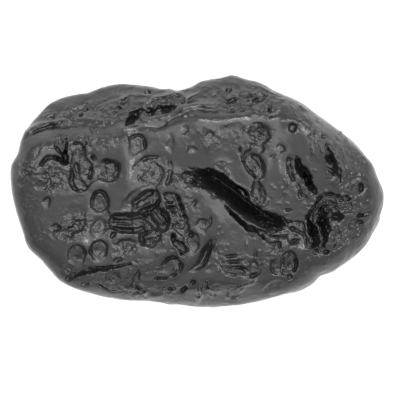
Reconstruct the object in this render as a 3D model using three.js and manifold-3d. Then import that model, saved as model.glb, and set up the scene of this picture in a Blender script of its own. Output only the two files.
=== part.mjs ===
// A tumbled tektite: one drop of natural black glass, pitted by gas bubbles and worn smooth.
// Millimetres, +Z up. The stone lies on its broad side. The origin is on the surface it rests on,
// under the middle of its outline, with the stone's long axis along X.

import * as THREE from 'three';
import { mergeVertices } from 'three/addons/utils/BufferGeometryUtils.js';
import Module from 'manifold-3d';

// ---------------------------------------------------------------- driving dimensions

const beltHeight = 9.2;       // height of the widest section above the resting surface
const beltRise = 2.2;         // how much higher the belt runs at the left end
const domeRise = 7.35;        // from the belt to the top of the plain dome
const keelDrop = 9.5;         // from the belt to the bottom of the plain dome, before the flat
const squareness = 2.45;      // exponent of the vertical section: 2 is an ellipse, more is boxier
const bodyDetail = 12;        // subdivisions of the icosahedron that carries the body
const rimEase = 0.13;         // how far the belt stands outside the listed outline
const heartHeight = 6.0;      // height of the point the body's rays start from
const apexHeight = 40;        // any height well above the stone
const flatCut = [60, 40, 20]; // the block that planes the resting flat

// The outline seen from above, anticlockwise from the blunt right-hand end.
const outline = [
  [18.9, -0.3], [18.25, 1.5], [17.6, 3.0], [16.85, 3.9], [15.9, 4.95], [13.95, 6.55], [12.25, 7.8],
  [10.1, 9.3], [8.05, 10.15], [6.1, 11.25], [4.65, 11.65], [3.45, 11.9], [2.0, 11.7], [0.0, 11.15],
  [-1.0, 10.6], [-2.1, 10.3], [-2.9, 10.5], [-4.0, 10.6], [-6.0, 11.0], [-8.2, 11.2], [-9.6, 10.95],
  [-11.2, 10.25], [-12.4, 10.15], [-14.0, 9.8], [-15.25, 9.0], [-16.3, 7.9], [-17.3, 6.6],
  [-17.75, 5.3], [-17.87, 3.92], [-18.6, 2.7], [-18.83, 1.3], [-18.8, -0.5], [-18.2, -2.85],
  [-17.75, -4.25], [-17.3, -5.5], [-15.75, -6.8], [-14.75, -7.8], [-13.9, -8.85], [-12.5, -9.7],
  [-10.45, -10.3], [-8.4, -10.8], [-4.95, -11.0], [-2.0, -11.4], [0.5, -11.6], [3.1, -11.5],
  [6.05, -11.0], [8.5, -10.4], [10.6, -9.8], [11.7, -9.15], [12.4, -8.5], [13.7, -8.05],
  [15.45, -7.05], [17.15, -5.5], [18.15, -3.85], [18.85, -1.9],
];

// Worn faces that cut the dome: a point on each, the compass direction it falls towards
// (degrees anticlockwise from +X), its slope from level, and the width of its rounded edge.
const faces = [
  { at: [0.0, 0.0, 15.6], falls: -60, slope: 3, edge: 3.0 }, // broad top
  { at: [-13.0, 7.3, 12.6], falls: 100, slope: 58, edge: 0.6 }, // upper left flank
  { at: [-4.0, 8.2, 13.4], falls: 104, slope: 52, edge: 0.6 }, // flank behind the ledge
  { at: [4.0, 8.7, 13.4], falls: 88, slope: 54, edge: 0.7 }, // upper right shoulder
  { at: [12.4, 6.3, 13.5], falls: 48, slope: 52, edge: 0.8 }, // right shoulder
  { at: [16.0, -5.5, 11.2], falls: -35, slope: 42, edge: 3.5 }, // lower right end
  { at: [1.0, -9.15, 14.3], falls: -90, slope: 61, edge: 0.6 }, // lower edge
];

// Broad swellings (+) and dips (-) of the top: centre, half lengths, turn of the long one, height.
const swells = [
  [-17.0, 3.1, 2.9, 2.9, 20.0, 1.05],
  [-7.4, 2.6, 0.9, 3.0, 0.0, 0.32],
  [-9.2, 6.7, 3.0, 1.0, 0.0, -0.25],
  [-10.6, 4.2, 1.6, 2.0, 0.0, -0.15],
  [-14.0, -6.8, 2.6, 2.2, 30.0, 0.6],
  [-11.8, -6.1, 2.0, 1.8, 0.0, 0.5],
  [-11.8, -5.4, 1.5, 1.3, 0.0, 0.3],
  [-9.6, -9.2, 1.4, 1.2, 0.0, 0.3],
  [-0.6, 5.9, 4.0, 2.4, 10.0, 0.5],
  [-0.6, 8.4, 1.4, 0.9, 0.0, 0.2],
  [3.0, 3.8, 1.6, 3.2, 20.0, -0.25],
  [1.5, -2.8, 1.4, 2.4, 10.0, 0.18],
  [8.3, 2.6, 0.5, 1.8, 0.0, 0.08],
  [11.5, 5.7, 3.4, 1.7, -52.0, 0.85],
  [13.0, 3.0, 1.5, 3.6, 12.0, 0.42],
  [11.0, 2.6, 2.0, 2.6, 0.0, 0.35],
  [7.6, -4.6, 1.6, 1.4, 0.0, 0.25],
  [-5.6, -7.2, 1.3, 1.1, 0.0, 0.15],
];

// The ground right of the trench lies low along the trench and climbs away from it.
const bank = {
  line: [[-1.0, 1.5], [1.2, 0.85], [3.2, -0.45], [5.3, -2.55], [8.5, -4.1]],
  drop: 1.25,    // how low it lies at the line
  reach: 5.5,    // how slowly it climbs on the right
  lip: 0.6,      // and how quickly on the left
};

// Crests (+) and folds (-) that run across the top: a line of points, half width, height.
const folds = [
  { line: [[-14.0, 8.0], [-8.0, 7.7], [-3.0, 8.3], [2.0, 8.6], [8.0, 8.3]], half: 2.2, rise: 0.16 },
  {
    line: [[-17.6, 6.2], [-16.4, 6.8], [-14.5, 7.25], [-12.6, 7.4], [-10.0, 7.3]],
    half: 0.5,
    rise: 0.16,
  },
  { line: [[-17.3, 5.4], [-15.8, 6.25], [-13.5, 6.7], [-11.0, 6.6]], half: 0.5, rise: -0.1 },
  {
    line: [[-7.6, 6.7], [-5.5, 7.3], [-3.2, 7.95], [-1.6, 8.7], [0.2, 9.05], [1.6, 9.0]],
    half: 0.45,
    rise: 0.25,
  },
  { line: [[-4.5, 6.8], [-2.2, 7.7], [-0.6, 8.3], [2.0, 8.1], [5.0, 8.6]], half: 0.5, rise: -0.14 },
  { line: [[-9.2, 9.3], [-7.4, 9.8], [-5.0, 10.0]], half: 0.4, rise: 0.18 },
  { line: [[-5.8, 9.35], [-4.0, 9.85], [-2.0, 10.2]], half: 0.35, rise: 0.2 },
  { line: [[-2.2, 8.9], [-1.2, 9.6], [0.0, 10.25], [1.6, 11.0]], half: 0.4, rise: 0.22 },
  { line: [[9.0, 7.3], [11.0, 7.5], [12.0, 6.6], [12.4, 5.0], [12.9, 3.4]], half: 0.5, rise: 0.22 },
  {
    line: [[-6.4, -8.9], [-4.2, -9.2], [-2.0, -8.8], [-0.4, -7.8], [0.7, -6.4], [1.2, -5.0]],
    half: 0.65,
    rise: -0.45,
  },
  { line: [[4.1, -9.75], [5.0, -9.4], [5.9, -9.1]], half: 0.18, rise: 0.15 },
];

// ---------------------------------------------------------------- shape functions

const radians = THREE.MathUtils.degToRad;
const smoothstep = THREE.MathUtils.smoothstep;

const outlinePolar = outline
  .map(([x, y]) => ({ angle: Math.atan2(y, x), radius: Math.hypot(x, y) }))
  .sort((a, b) => a.angle - b.angle);

// The outline's radius at an angle: a Catmull-Rom curve through the listed points.
function outlineRadius(angle) {
  const count = outlinePolar.length;
  let next = outlinePolar.findIndex((p) => p.angle > angle);
  if (next < 0) next = count;
  const knot = (i) => {
    const turns = Math.floor(i / count);
    const p = outlinePolar[i - turns * count];
    return { angle: p.angle + turns * 2 * Math.PI, radius: p.radius };
  };
  const [p0, p1, p2, p3] = [next - 2, next - 1, next, next + 1].map(knot);
  const span = p2.angle - p1.angle;
  const t = (angle - p1.angle) / span;
  const slope1 = ((p2.radius - p0.radius) / (p2.angle - p0.angle)) * span;
  const slope2 = ((p3.radius - p1.radius) / (p3.angle - p1.angle)) * span;
  const h = p2.radius - p1.radius;
  return rimEase + p1.radius + slope1 * t + (3 * h - 2 * slope1 - slope2) * t * t
    + (slope1 + slope2 - 2 * h) * t * t * t;
}

// The larger of two distances, with the edge between them rounded over a width.
function roundedMax(a, b, edge) {
  const h = Math.max(edge - Math.abs(a - b), 0) / edge;
  return Math.max(a, b) + (h * h * edge) / 4;
}

// How far a place is from a line of points, and on which side: 1 square to its left, -1 to its right.
function placeByLine(x, y, line) {
  let [away, side] = [Infinity, 0];
  for (let i = 1; i < line.length; i++) {
    const [ax, ay] = line[i - 1];
    const [bx, by] = line[i];
    const [dx, dy] = [bx - ax, by - ay];
    const t = THREE.MathUtils.clamp(((x - ax) * dx + (y - ay) * dy) / (dx * dx + dy * dy), 0, 1);
    const [rx, ry] = [x - ax - t * dx, y - ay - t * dy];
    const r = Math.hypot(rx, ry);
    if (r < away) [away, side] = [r, (dx * ry - dy * rx) / Math.hypot(dx, dy) / Math.max(r, 0.01)];
  }
  return { away, side };
}

function bankDepth(x, y) {
  const { away, side } = placeByLine(x, y, bank.line);
  const share = smoothstep(side, -0.6, 0.6);
  const [climb, fall] = [Math.exp(-away / bank.reach), Math.exp(-((away / bank.lip) ** 2))];
  return bank.drop * THREE.MathUtils.lerp(fall, climb, share);
}

// How far the bank, swells and folds lift the top at a place seen from above.
function relief(x, y) {
  let lift = -bankDepth(x, y);
  for (const [cx, cy, halfLong, halfWide, turn, height] of swells) {
    const [c, s] = [Math.cos(radians(turn)), Math.sin(radians(turn))];
    const u = ((x - cx) * c + (y - cy) * s) / halfLong;
    const v = ((y - cy) * c - (x - cx) * s) / halfWide;
    lift += height * Math.exp(-(u * u + v * v));
  }
  for (const { line, half, rise } of folds) {
    lift += rise * Math.exp(-((placeByLine(x, y, line).away / half) ** 2));
  }
  return lift;
}

// How far the broad lumps of the sides and underside stand out. They die away at the belt, and at
// the resting flat.
function lumps(x, y, z) {
  const share = smoothstep(z, 0.4, 2.6) * (1 - smoothstep(z, beltHeight - 5, beltHeight - 1.2));
  if (share === 0) return 0;
  return share * (0.34 * Math.sin(0.52 * x + 0.31 * z + 0.8) * Math.sin(0.47 * y - 0.36 * z + 0.5)
    + 0.20 * Math.sin(0.95 * x - 0.62 * y + 0.9 * z) + 0.12 * Math.sin(1.4 * y + 1.1 * x - 1.2 * z));
}

// Signed distance, near enough, to the stone before its hollows: negative inside.
function bodyDistance(x, y, z) {
  const radius = outlineRadius(Math.atan2(y, x));
  const rise = beltRise * smoothstep(-0.9 * x - 0.44 * y, 4, 19);
  const above = z - beltHeight - rise;
  const height = above > 0 ? domeRise - rise : keelDrop + rise;
  const u = Math.hypot(x, y) / radius;
  const v = Math.abs(above) / height;
  const size = Math.max(Math.pow(u ** squareness + v ** squareness, 1 / squareness), 0.05);
  const steep = Math.hypot((u / size) ** (squareness - 1) / radius, (v / size) ** (squareness - 1) / height);
  let distance = (size - 1) / Math.max(steep, 0.02);
  for (const { at, falls, slope, edge } of faces) {
    const lean = Math.sin(radians(slope));
    const plane = (x - at[0]) * lean * Math.cos(radians(falls))
      + (y - at[1]) * lean * Math.sin(radians(falls))
      + (z - at[2]) * Math.cos(radians(slope));
    distance = roundedMax(distance, plane, edge);
  }
  return distance - relief(x, y) * smoothstep(z, beltHeight, beltHeight + 4) - lumps(x, y, z);
}

// ---------------------------------------------------------------- hollows of the top

// Each hollow: centre x and y seen from above, length, width, turn of its length (degrees
// anticlockwise from +X), depth along the surface's normal.

const bubblePits = [
  [-14.15, 5.1, 1.9, 0.9, -78.0, 0.4], [-9.25, 2.25, 2.1, 1.9, 20.0, 0.42],
  [-10.1, -0.95, 2.3, 1.6, 80.0, 0.49], [-12.35, -6.35, 2.2, 1.8, 80.0, 0.52],
  [-10.2, -5.95, 2.0, 1.45, 85.0, 0.52], [-6.25, -8.4, 1.2, 0.5, 75.0, 0.35],
  [-5.0, -4.5, 2.0, 1.7, 20.0, 0.49], [-1.7, -3.3, 1.7, 1.2, 80.0, 0.42],
  [0.4, -3.3, 1.4, 1.15, 80.0, 0.28], [-0.75, -5.1, 2.0, 1.5, -70.0, 0.36],
  [-2.3, 1.35, 1.1, 0.55, -20.0, 0.16], [-1.7, 0.7, 1.1, 0.55, -20.0, 0.16],
  [-4.0, 1.6, 1.5, 0.9, 50.0, 0.2], [-2.75, -7.6, 2.1, 1.9, 60.0, 0.52],
  [5.5, -7.9, 1.7, 1.2, 30.0, 0.32], [9.2, -7.3, 2.3, 1.4, 78.0, 0.58],
  [8.0, -7.5, 1.7, 1.1, 75.0, 0.42], [14.35, -2.45, 1.2, 0.9, 30.0, 0.45],
  [-12.35, 4.3, 1.5, 1.3, 60.0, 0.39], [-10.2, -3.35, 1.8, 1.6, 60.0, 0.36],
  [-13.5, -4.2, 1.2, 0.9, 15.0, 0.36], [-12.4, -3.5, 1.7, 1.1, 30.0, 0.36],
  [-7.3, -5.4, 2.1, 1.1, 20.0, 0.32], [-8.75, -8.75, 1.6, 1.4, 80.0, 0.36],
  [-4.3, -8.05, 2.6, 1.5, 8.0, 0.32], [0.6, -9.5, 1.1, 0.6, 80.0, 0.24],
  [-6.3, 4.95, 1.8, 1.6, 60.0, 0.32], [6.3, 6.0, 2.0, 1.75, 60.0, 0.58],
  [9.55, 6.6, 0.95, 0.8, 80.0, 0.42], [7.8, -5.45, 1.2, 0.9, 0.0, 0.36],
  [16.3, 0.45, 1.4, 1.1, 50.0, 0.27], [16.1, -3.4, 1.5, 1.2, 40.0, 0.27],
  [12.3, -5.95, 1.4, 0.9, 10.0, 0.28],
];

const slots = [
  [9.65, 2.4, 3.0, 1.2, -84.0, 0.2], [5.65, 2.85, 3.1, 1.5, -60.0, 0.45],
  [6.2, 9.65, 1.7, 0.6, 25.0, 0.4], [12.75, -1.9, 3.0, 1.7, 52.0, 0.6],
  [-7.15, -3.1, 3.8, 1.9, -3.0, 0.8], [-4.05, -2.65, 2.7, 1.8, -52.0, 0.9],
  [-5.5, -0.85, 3.1, 1.4, 38.0, 0.6], [-2.0, -5.35, 1.9, 0.45, -47.0, 0.6],
  [-11.9, 2.2, 3.3, 1.9, -72.0, 0.32], [-12.3, 0.9, 1.7, 1.1, -35.0, 0.4],
];

const dishes = [
  [-14.7, 1.8, 3.7, 3.1, 10.0, 0.28], [-12.6, -2.1, 2.4, 1.4, 10.0, 0.25],
  [-4.6, 2.2, 3.9, 3.3, 0.0, 0.25], [-6.9, -1.0, 2.6, 1.4, 35.0, 0.4],
  [-2.5, -1.6, 3.6, 1.6, -65.0, 0.55], [-2.8, 5.0, 2.0, 0.8, 90.0, 0.25],
  [-0.2, 5.3, 1.9, 1.3, 80.0, 0.2], [-0.6, 4.4, 1.2, 0.9, 0.0, 0.25], [3.2, 6.6, 2.2, 1.0, 10.0, 0.25],
  [-6.9, 5.6, 1.1, 0.7, 80.0, 0.2], [6.0, 4.5, 1.9, 1.2, 0.0, 0.4], [6.1, 0.1, 2.7, 1.4, -70.0, 0.5],
  [4.5, -6.5, 4.6, 3.8, -60.0, 0.1], [14.7, -1.1, 2.0, 1.5, 0.0, 0.45],
  [16.3, 3.0, 2.6, 2.2, 0.0, 0.2], [9.9, -4.2, 1.7, 1.9, 0.0, 0.1], [-4.6, -10.2, 1.8, 0.8, -5.0, 0.2],
  [15.9, 1.4, 1.3, 1.0, 0.0, 0.25],
];

// Grooves along a line: at each point x, y, half width and depth.
const grooves = [
  // the trench
  [[-1.0, 1.5, 0.6, 0.3], [0.0, 1.25, 1.05, 0.9], [0.9, 1.2, 1.2, 2.6], [1.8, 0.8, 1.25, 3.6],
    [2.7, 0.2, 1.15, 3.6], [3.6, -0.55, 1.0, 3.6], [4.55, -1.45, 0.95, 3.6], [5.5, -2.2, 0.85, 3.4],
    [6.5, -2.7, 0.95, 3.0], [7.6, -3.15, 1.0, 2.4], [8.4, -3.5, 0.5, 0.8]],
  // the narrow groove under its lower ledge
  [[2.7, -1.35, 0.2, 0.4], [3.3, -2.1, 0.28, 1.0], [4.0, -2.75, 0.34, 1.3], [4.8, -3.3, 0.38, 1.4],
    [5.7, -3.75, 0.46, 1.4], [6.6, -3.95, 0.5, 1.3], [7.5, -4.15, 0.45, 1.3], [8.2, -4.2, 0.25, 0.5]],
  // the two slots right of it
  [[13.2, 4.8, 0.3, 0.4], [13.3, 4.0, 0.6, 1.5], [13.55, 3.0, 0.8, 1.8], [13.8, 2.3, 0.62, 1.6],
    [14.35, 1.6, 0.3, 0.9], [14.5, 1.0, 0.15, 0.3]],
  [[10.05, 3.6, 0.2, 0.3], [10.25, 2.9, 0.36, 1.2], [10.5, 2.2, 0.42, 1.4], [10.95, 1.6, 0.36, 1.2],
    [11.25, 0.9, 0.42, 1.4], [11.5, 0.3, 0.42, 1.2], [11.75, -0.2, 0.2, 0.4]],
  // the branches of the deep pit at the right end
  [[11.3, -2.9, 0.15, 0.4], [11.5, -3.6, 0.45, 1.5], [11.75, -4.5, 0.55, 1.8],
    [11.95, -5.3, 0.45, 1.4], [12.2, -6.0, 0.2, 0.4]],
  [[13.1, -1.5, 0.25, 0.7], [12.85, -2.4, 0.4, 1.3], [12.85, -3.2, 0.5, 1.7],
    [12.95, -4.0, 0.5, 1.8], [12.9, -4.9, 0.42, 1.4], [12.75, -5.7, 0.2, 0.5]],
  // the cave behind the ledge
  [[-7.1, 7.1, 0.3, 0.5], [-6.8, 7.45, 0.6, 1.3], [-6.4, 7.95, 0.6, 1.5], [-5.9, 8.35, 0.65, 1.6],
    [-5.3, 8.45, 0.6, 1.6], [-4.8, 8.35, 0.4, 1.0]],
  [[-4.4, 8.45, 0.4, 1.0], [-3.8, 8.4, 0.8, 1.8], [-3.1, 8.55, 0.8, 1.8], [-2.5, 8.8, 0.6, 1.4],
    [-1.9, 9.2, 0.5, 0.8], [-1.6, 9.6, 0.3, 0.4]],
  // the fold and the seam along the lower left edge
  [[-13.5, -8.95, 0.3, 0.4], [-12.3, -8.35, 0.34, 0.7], [-11.0, -7.95, 0.31, 0.7],
    [-9.6, -7.7, 0.26, 0.7], [-8.2, -7.45, 0.18, 0.6], [-6.9, -7.3, 0.1, 0.3]],
  [[-10.3, -9.4, 0.12, 0.2], [-9.5, -9.85, 0.2, 0.35], [-8.5, -10.15, 0.18, 0.35],
    [-7.6, -10.1, 0.12, 0.2]],
  // a crack
  [[-13.45, 5.1, 0.1, 0.3], [-13.5, 4.1, 0.16, 0.7], [-13.7, 3.1, 0.1, 0.3]],
  // the arched rim of the deep pit
  [[11.1, -2.7, 0.1, 0.3], [11.5, -1.8, 0.15, 0.5], [12.1, -0.95, 0.17, 0.6],
    [12.9, -0.35, 0.25, 0.7], [13.7, -0.3, 0.2, 0.5]],
  [[14.2, -0.35, 0.1, 0.3], [14.7, -0.55, 0.3, 0.7], [15.2, -0.65, 0.28, 0.7], [15.6, -0.95, 0.1, 0.3]],
  // the valley left of the shield
  [[1.15, -5.0, 0.25, 0.3], [0.85, -6.0, 0.48, 0.8], [0.5, -6.8, 0.46, 0.75],
    [-0.1, -7.4, 0.25, 0.35], [-0.9, -8.0, 0.12, 0.15]],
];
const grooveSides = 8;        // facets round a groove's section
const grooveClear = 0.9;      // how far a groove's cutter stands above the surface

// How far a hollow's rim is drawn in: 0 gives upright walls, near 1 gives a saucer.
const openness = { pit: 0.25, slot: 0.12, dish: 0.72 };

// ---------------------------------------------------------------- hollows of the sides and underside

const sideHollows = 28;       // spread evenly below the belt
const lowestSine = -0.90;     // of the angle below the horizon, so that the resting flat stays whole
const highestSine = -0.06;
const goldenAngle = Math.PI * (3 - Math.sqrt(5));

// A repeatable number from 0 to 1 for hollow i.
function scatter(i, key) {
  const s = Math.sin(i * 12.9898 + key * 78.233) * 43758.5453;
  return s - Math.floor(s);
}

// ---------------------------------------------------------------- solids

const wasm = await Module();
wasm.setup();

function solidOf(geometry) {
  const bare = geometry.index ? geometry.toNonIndexed() : geometry.clone();
  bare.deleteAttribute('normal');
  bare.deleteAttribute('uv');
  const merged = mergeVertices(bare, 1e-5);
  return new wasm.Manifold(new wasm.Mesh({
    numProp: 3,
    vertProperties: merged.attributes.position.array,
    triVerts: new Uint32Array(merged.index.array),
  }));
}

function geometryOf(solid) {
  const { numProp, vertProperties, triVerts } = solid.getMesh();
  const places = new Float32Array((vertProperties.length / numProp) * 3);
  for (let i = 0; i * numProp < vertProperties.length; i++) {
    places.set(vertProperties.subarray(i * numProp, i * numProp + 3), i * 3);
  }
  return new THREE.BufferGeometry()
    .setAttribute('position', new THREE.BufferAttribute(places, 3))
    .setIndex(new THREE.BufferAttribute(triVerts, 1));
}

// The point where a ray that starts inside the stone, or outside it and heads in, meets the body.
function meetBody(from, direction, near, far) {
  const point = new THREE.Vector3();
  const outsideAtNear = bodyDistance(...point.copy(from).addScaledVector(direction, near)) > 0;
  for (let i = 0; i < 36; i++) {
    const middle = (near + far) / 2;
    const outside = bodyDistance(...point.copy(from).addScaledVector(direction, middle)) > 0;
    if (outside === outsideAtNear) near = middle;
    else far = middle;
  }
  return point.clone();
}

function bodyNormal({ x, y, z }) {
  const step = 0.05;
  return new THREE.Vector3(
    bodyDistance(x + step, y, z) - bodyDistance(x - step, y, z),
    bodyDistance(x, y + step, z) - bodyDistance(x, y - step, z),
    bodyDistance(x, y, z + step) - bodyDistance(x, y, z - step),
  ).normalize();
}

const downward = new THREE.Vector3(0, 0, -1);
const heart = new THREE.Vector3(0, 0, heartHeight);
const reach = new THREE.Vector3(19, 11.7, 8); // about the half sizes, to space the rays evenly
const nearHeart = 0.5;        // where a ray from the heart is sure to be inside
const beyondBody = 30;        // and where it is sure to be outside

function makeBody() {
  const ball = new THREE.IcosahedronGeometry(1, bodyDetail);
  const place = ball.attributes.position;
  const direction = new THREE.Vector3();
  for (let i = 0; i < place.count; i++) {
    direction.fromBufferAttribute(place, i).multiply(reach).normalize();
    place.setXYZ(i, ...meetBody(heart, direction, nearHeart, beyondBody));
  }
  return solidOf(ball);
}

// A unit ball stretched over three half axes and set in the surface: the shape a hollow cuts.
function makeHollow(surface, normal, along, across, deep, open) {
  const mouth = 1 / Math.sqrt(1 - open * open);
  const down = deep / (1 - open);
  const segments = Math.round(THREE.MathUtils.clamp(4.2 + 2.3 * along.length(), 6, 10));
  const ball = new THREE.SphereGeometry(1, segments, Math.round(segments * 0.6)).rotateX(Math.PI / 2);
  const frame = new THREE.Matrix4().makeBasis(
    along.clone().multiplyScalar(mouth),
    across.clone().multiplyScalar(mouth),
    normal.clone().multiplyScalar(down),
  );
  frame.setPosition(surface.clone().addScaledVector(normal, open * down));
  return solidOf(ball.applyMatrix4(frame));
}

function topSurface(x, y) {
  const surface = meetBody(new THREE.Vector3(x, y, apexHeight), downward, 0, apexHeight - beltHeight);
  return { surface, normal: bodyNormal(surface) };
}

// A hollow given by where it is seen from above. Its half axes lie in the surface under it.
function topHollow([x, y, long, wide, turn, deep], open) {
  const { surface, normal } = topSurface(x, y);
  const upright = Math.max(normal.z, 0.35);
  const lie = (angle, half) => {
    const [a, b] = [Math.cos(angle) * half, Math.sin(angle) * half];
    return new THREE.Vector3(a, b, -(a * normal.x + b * normal.y) / upright);
  };
  const angle = radians(turn);
  return makeHollow(surface, normal, lie(angle, long / 2), lie(angle + Math.PI / 2, wide / 2), deep, open);
}

// A closed trough lofted along a groove's line, half under the surface and half above it.
function grooveCutter(line) {
  const knots = line.map(([x, y]) => topSurface(x, y));
  const places = [];
  line.forEach(([, , half, deep], i) => {
    const { surface, normal } = knots[i];
    const before = knots[Math.max(i - 1, 0)].surface;
    const after = knots[Math.min(i + 1, line.length - 1)].surface;
    const side = normal.clone().cross(after.clone().sub(before)).normalize();
    for (let k = 0; k < grooveSides; k++) {
      const angle = (k * 2 * Math.PI) / grooveSides;
      const height = Math.sin(angle) * (Math.sin(angle) < 0 ? deep : grooveClear);
      const corner = surface.clone().addScaledVector(side, -Math.cos(angle) * half);
      places.push(...corner.addScaledVector(normal, height));
    }
  });
  const corners = [];
  for (let i = 0; i + 1 < line.length; i++) {
    for (let k = 0; k < grooveSides; k++) {
      const [a, b] = [i * grooveSides + k, i * grooveSides + ((k + 1) % grooveSides)];
      corners.push(a, a + grooveSides, b, b, a + grooveSides, b + grooveSides);
    }
  }
  const last = (line.length - 1) * grooveSides;
  for (let k = 1; k + 1 < grooveSides; k++) {
    corners.push(0, k, k + 1, last, last + k + 1, last + k);
  }
  return solidOf(new THREE.BufferGeometry()
    .setAttribute('position', new THREE.BufferAttribute(new Float32Array(places), 3))
    .setIndex(corners));
}

function sideHollow(i) {
  const sine = THREE.MathUtils.lerp(lowestSine, highestSine, (i + 0.5) / sideHollows);
  const cosine = Math.sqrt(1 - sine * sine);
  const around = i * goldenAngle;
  const direction = new THREE.Vector3(cosine * Math.cos(around), cosine * Math.sin(around), sine)
    .multiply(reach)
    .normalize();
  const surface = meetBody(heart, direction, nearHeart, beyondBody);
  const normal = bodyNormal(surface);
  const long = 0.9 + 1.9 * scatter(i, 1) ** 2;
  const wide = long * (0.5 + 0.4 * scatter(i, 2));
  const deep = wide * (0.25 + 0.25 * scatter(i, 3));
  const spin = Math.PI * scatter(i, 4);
  const level = new THREE.Vector3(0, 0, 1).cross(normal).normalize();
  const upward = normal.clone().cross(level);
  const turned = (angle, half) => level.clone().multiplyScalar(Math.cos(angle) * half)
    .addScaledVector(upward, Math.sin(angle) * half);
  const along = turned(spin, long / 2);
  const across = turned(spin + Math.PI / 2, wide / 2);
  return makeHollow(surface, normal, along, across, deep, openness.pit);
}

function makeTektite() {
  const cuts = [
    ...bubblePits.map((h) => topHollow(h, openness.pit)),
    ...slots.map((h) => topHollow(h, openness.slot)),
    ...dishes.map((h) => topHollow(h, openness.dish)),
    ...Array.from({ length: sideHollows }, (_, i) => sideHollow(i)),
    ...grooves.map(grooveCutter),
    solidOf(new THREE.BoxGeometry(...flatCut).translate(0, 0, -flatCut[2] / 2)),
  ];
  return makeBody().subtract(wasm.Manifold.union(cuts));
}

// ---------------------------------------------------------------- the part

const glass = new THREE.MeshStandardMaterial({ color: 0x1b1b1c, roughness: 0.28, metalness: 0 });

const tektite = new THREE.Mesh(geometryOf(makeTektite()), glass);
tektite.name = 'tektite';
tektite.geometry.computeBoundingBox();
const { min, max } = tektite.geometry.boundingBox;
tektite.position.set(-(min.x + max.x) / 2, -(min.y + max.y) / 2, 0);

const part = new THREE.Group();
part.add(tektite);

export default part;
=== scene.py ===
import math

import bpy
import numpy as np
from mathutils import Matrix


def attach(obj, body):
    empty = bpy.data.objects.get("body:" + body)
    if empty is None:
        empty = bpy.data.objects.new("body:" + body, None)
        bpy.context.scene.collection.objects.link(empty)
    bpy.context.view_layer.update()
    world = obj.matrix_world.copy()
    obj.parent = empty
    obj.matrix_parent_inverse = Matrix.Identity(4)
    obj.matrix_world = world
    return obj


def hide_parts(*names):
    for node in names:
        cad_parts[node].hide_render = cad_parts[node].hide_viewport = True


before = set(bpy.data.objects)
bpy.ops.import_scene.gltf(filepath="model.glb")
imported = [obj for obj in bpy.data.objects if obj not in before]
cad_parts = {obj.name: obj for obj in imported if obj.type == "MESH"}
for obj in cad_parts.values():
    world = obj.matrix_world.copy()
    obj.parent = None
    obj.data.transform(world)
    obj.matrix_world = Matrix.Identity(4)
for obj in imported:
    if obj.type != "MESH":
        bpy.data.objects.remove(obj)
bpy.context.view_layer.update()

# A tumbled tektite. The stone is one closed surface, taken from a field of distances in millimetres:
# a flattened dome with worn faces, swells and folds, less its bubble pits, grooves and dishes.

# ---------------------------------------------------------------- the body, as in the CAD

BELT = 9.2
DOME = 7.35
KEEL = 9.5
SQUARENESS = 2.45
RIM_EASE = 0.13
BELT_RISE = 2.2

OUTLINE = [
    (18.9, -0.3), (18.25, 1.5), (17.6, 3.0), (16.85, 3.9), (15.9, 4.95), (13.95, 6.55), (12.25, 7.8),
    (10.1, 9.3), (8.05, 10.15), (6.1, 11.25), (4.65, 11.65), (3.45, 11.9), (2.0, 11.7), (0.0, 11.15),
    (-1.0, 10.6), (-2.1, 10.3), (-2.9, 10.5), (-4.0, 10.6), (-6.0, 11.0), (-8.2, 11.2), (-9.6, 10.95),
    (-11.2, 10.25), (-12.4, 10.15), (-14.0, 9.8), (-15.25, 9.0), (-16.3, 7.9), (-17.3, 6.6), (-17.75, 5.3),
    (-17.87, 3.92), (-18.6, 2.7), (-18.83, 1.3), (-18.8, -0.5), (-18.2, -2.85), (-17.75, -4.25),
    (-17.3, -5.5), (-15.75, -6.8), (-14.75, -7.8), (-13.9, -8.85), (-12.5, -9.7), (-10.45, -10.3),
    (-8.4, -10.8), (-4.95, -11.0), (-2.0, -11.4), (0.5, -11.6), (3.1, -11.5), (6.05, -11.0), (8.5, -10.4),
    (10.6, -9.8), (11.7, -9.15), (12.4, -8.5), (13.7, -8.05), (15.45, -7.05), (17.15, -5.5),
    (18.15, -3.85), (18.85, -1.9),
]

# Worn faces: x, y, z, compass direction of the fall, slope, width of the rounded edge.
FACES = [
    (0.0, 0.0, 15.6, -60, 3, 3.0),
    (-13.0, 7.3, 12.6, 100, 58, 0.6),
    (-4.0, 8.2, 13.4, 104, 52, 0.6),
    (4.0, 8.7, 13.4, 88, 54, 0.7),
    (12.4, 6.3, 13.5, 48, 52, 0.8),
    (16.0, -5.5, 11.2, -35, 42, 3.5),
    (1.0, -9.15, 14.3, -90, 61, 0.6),
]

# Broad swellings and dips: centre, half lengths, turn, height.
SWELLS = [
    (-17.0, 3.1, 2.9, 2.9, 20, 1.05),
    (-7.4, 2.6, 0.9, 3.0, 0, 0.32),
    (-9.2, 6.7, 3.0, 1.0, 0, -0.25),
    (-10.6, 4.2, 1.6, 2.0, 0, -0.15),
    (-14.0, -6.8, 2.6, 2.2, 30, 0.60),
    (-11.8, -6.1, 2.0, 1.8, 0, 0.50),
    (-11.8, -5.4, 1.5, 1.3, 0, 0.30),
    (-9.6, -9.2, 1.4, 1.2, 0, 0.30),
    (-0.6, 5.9, 4.0, 2.4, 10, 0.50),
    (-0.6, 8.4, 1.4, 0.9, 0, 0.20),
    (3.0, 3.8, 1.6, 3.2, 20, -0.25),
    (1.5, -2.8, 1.4, 2.4, 10, 0.18),
    (8.3, 2.6, 0.5, 1.8, 0, 0.08),
    (11.5, 5.7, 3.4, 1.7, -52, 0.85),
    (13.0, 3.0, 1.5, 3.6, 12, 0.42),
    (11.0, 2.6, 2.0, 2.6, 0, 0.35),
    (7.6, -4.6, 1.6, 1.4, 0, 0.25),
    (-5.6, -7.2, 1.3, 1.1, 0, 0.15),
]

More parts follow.
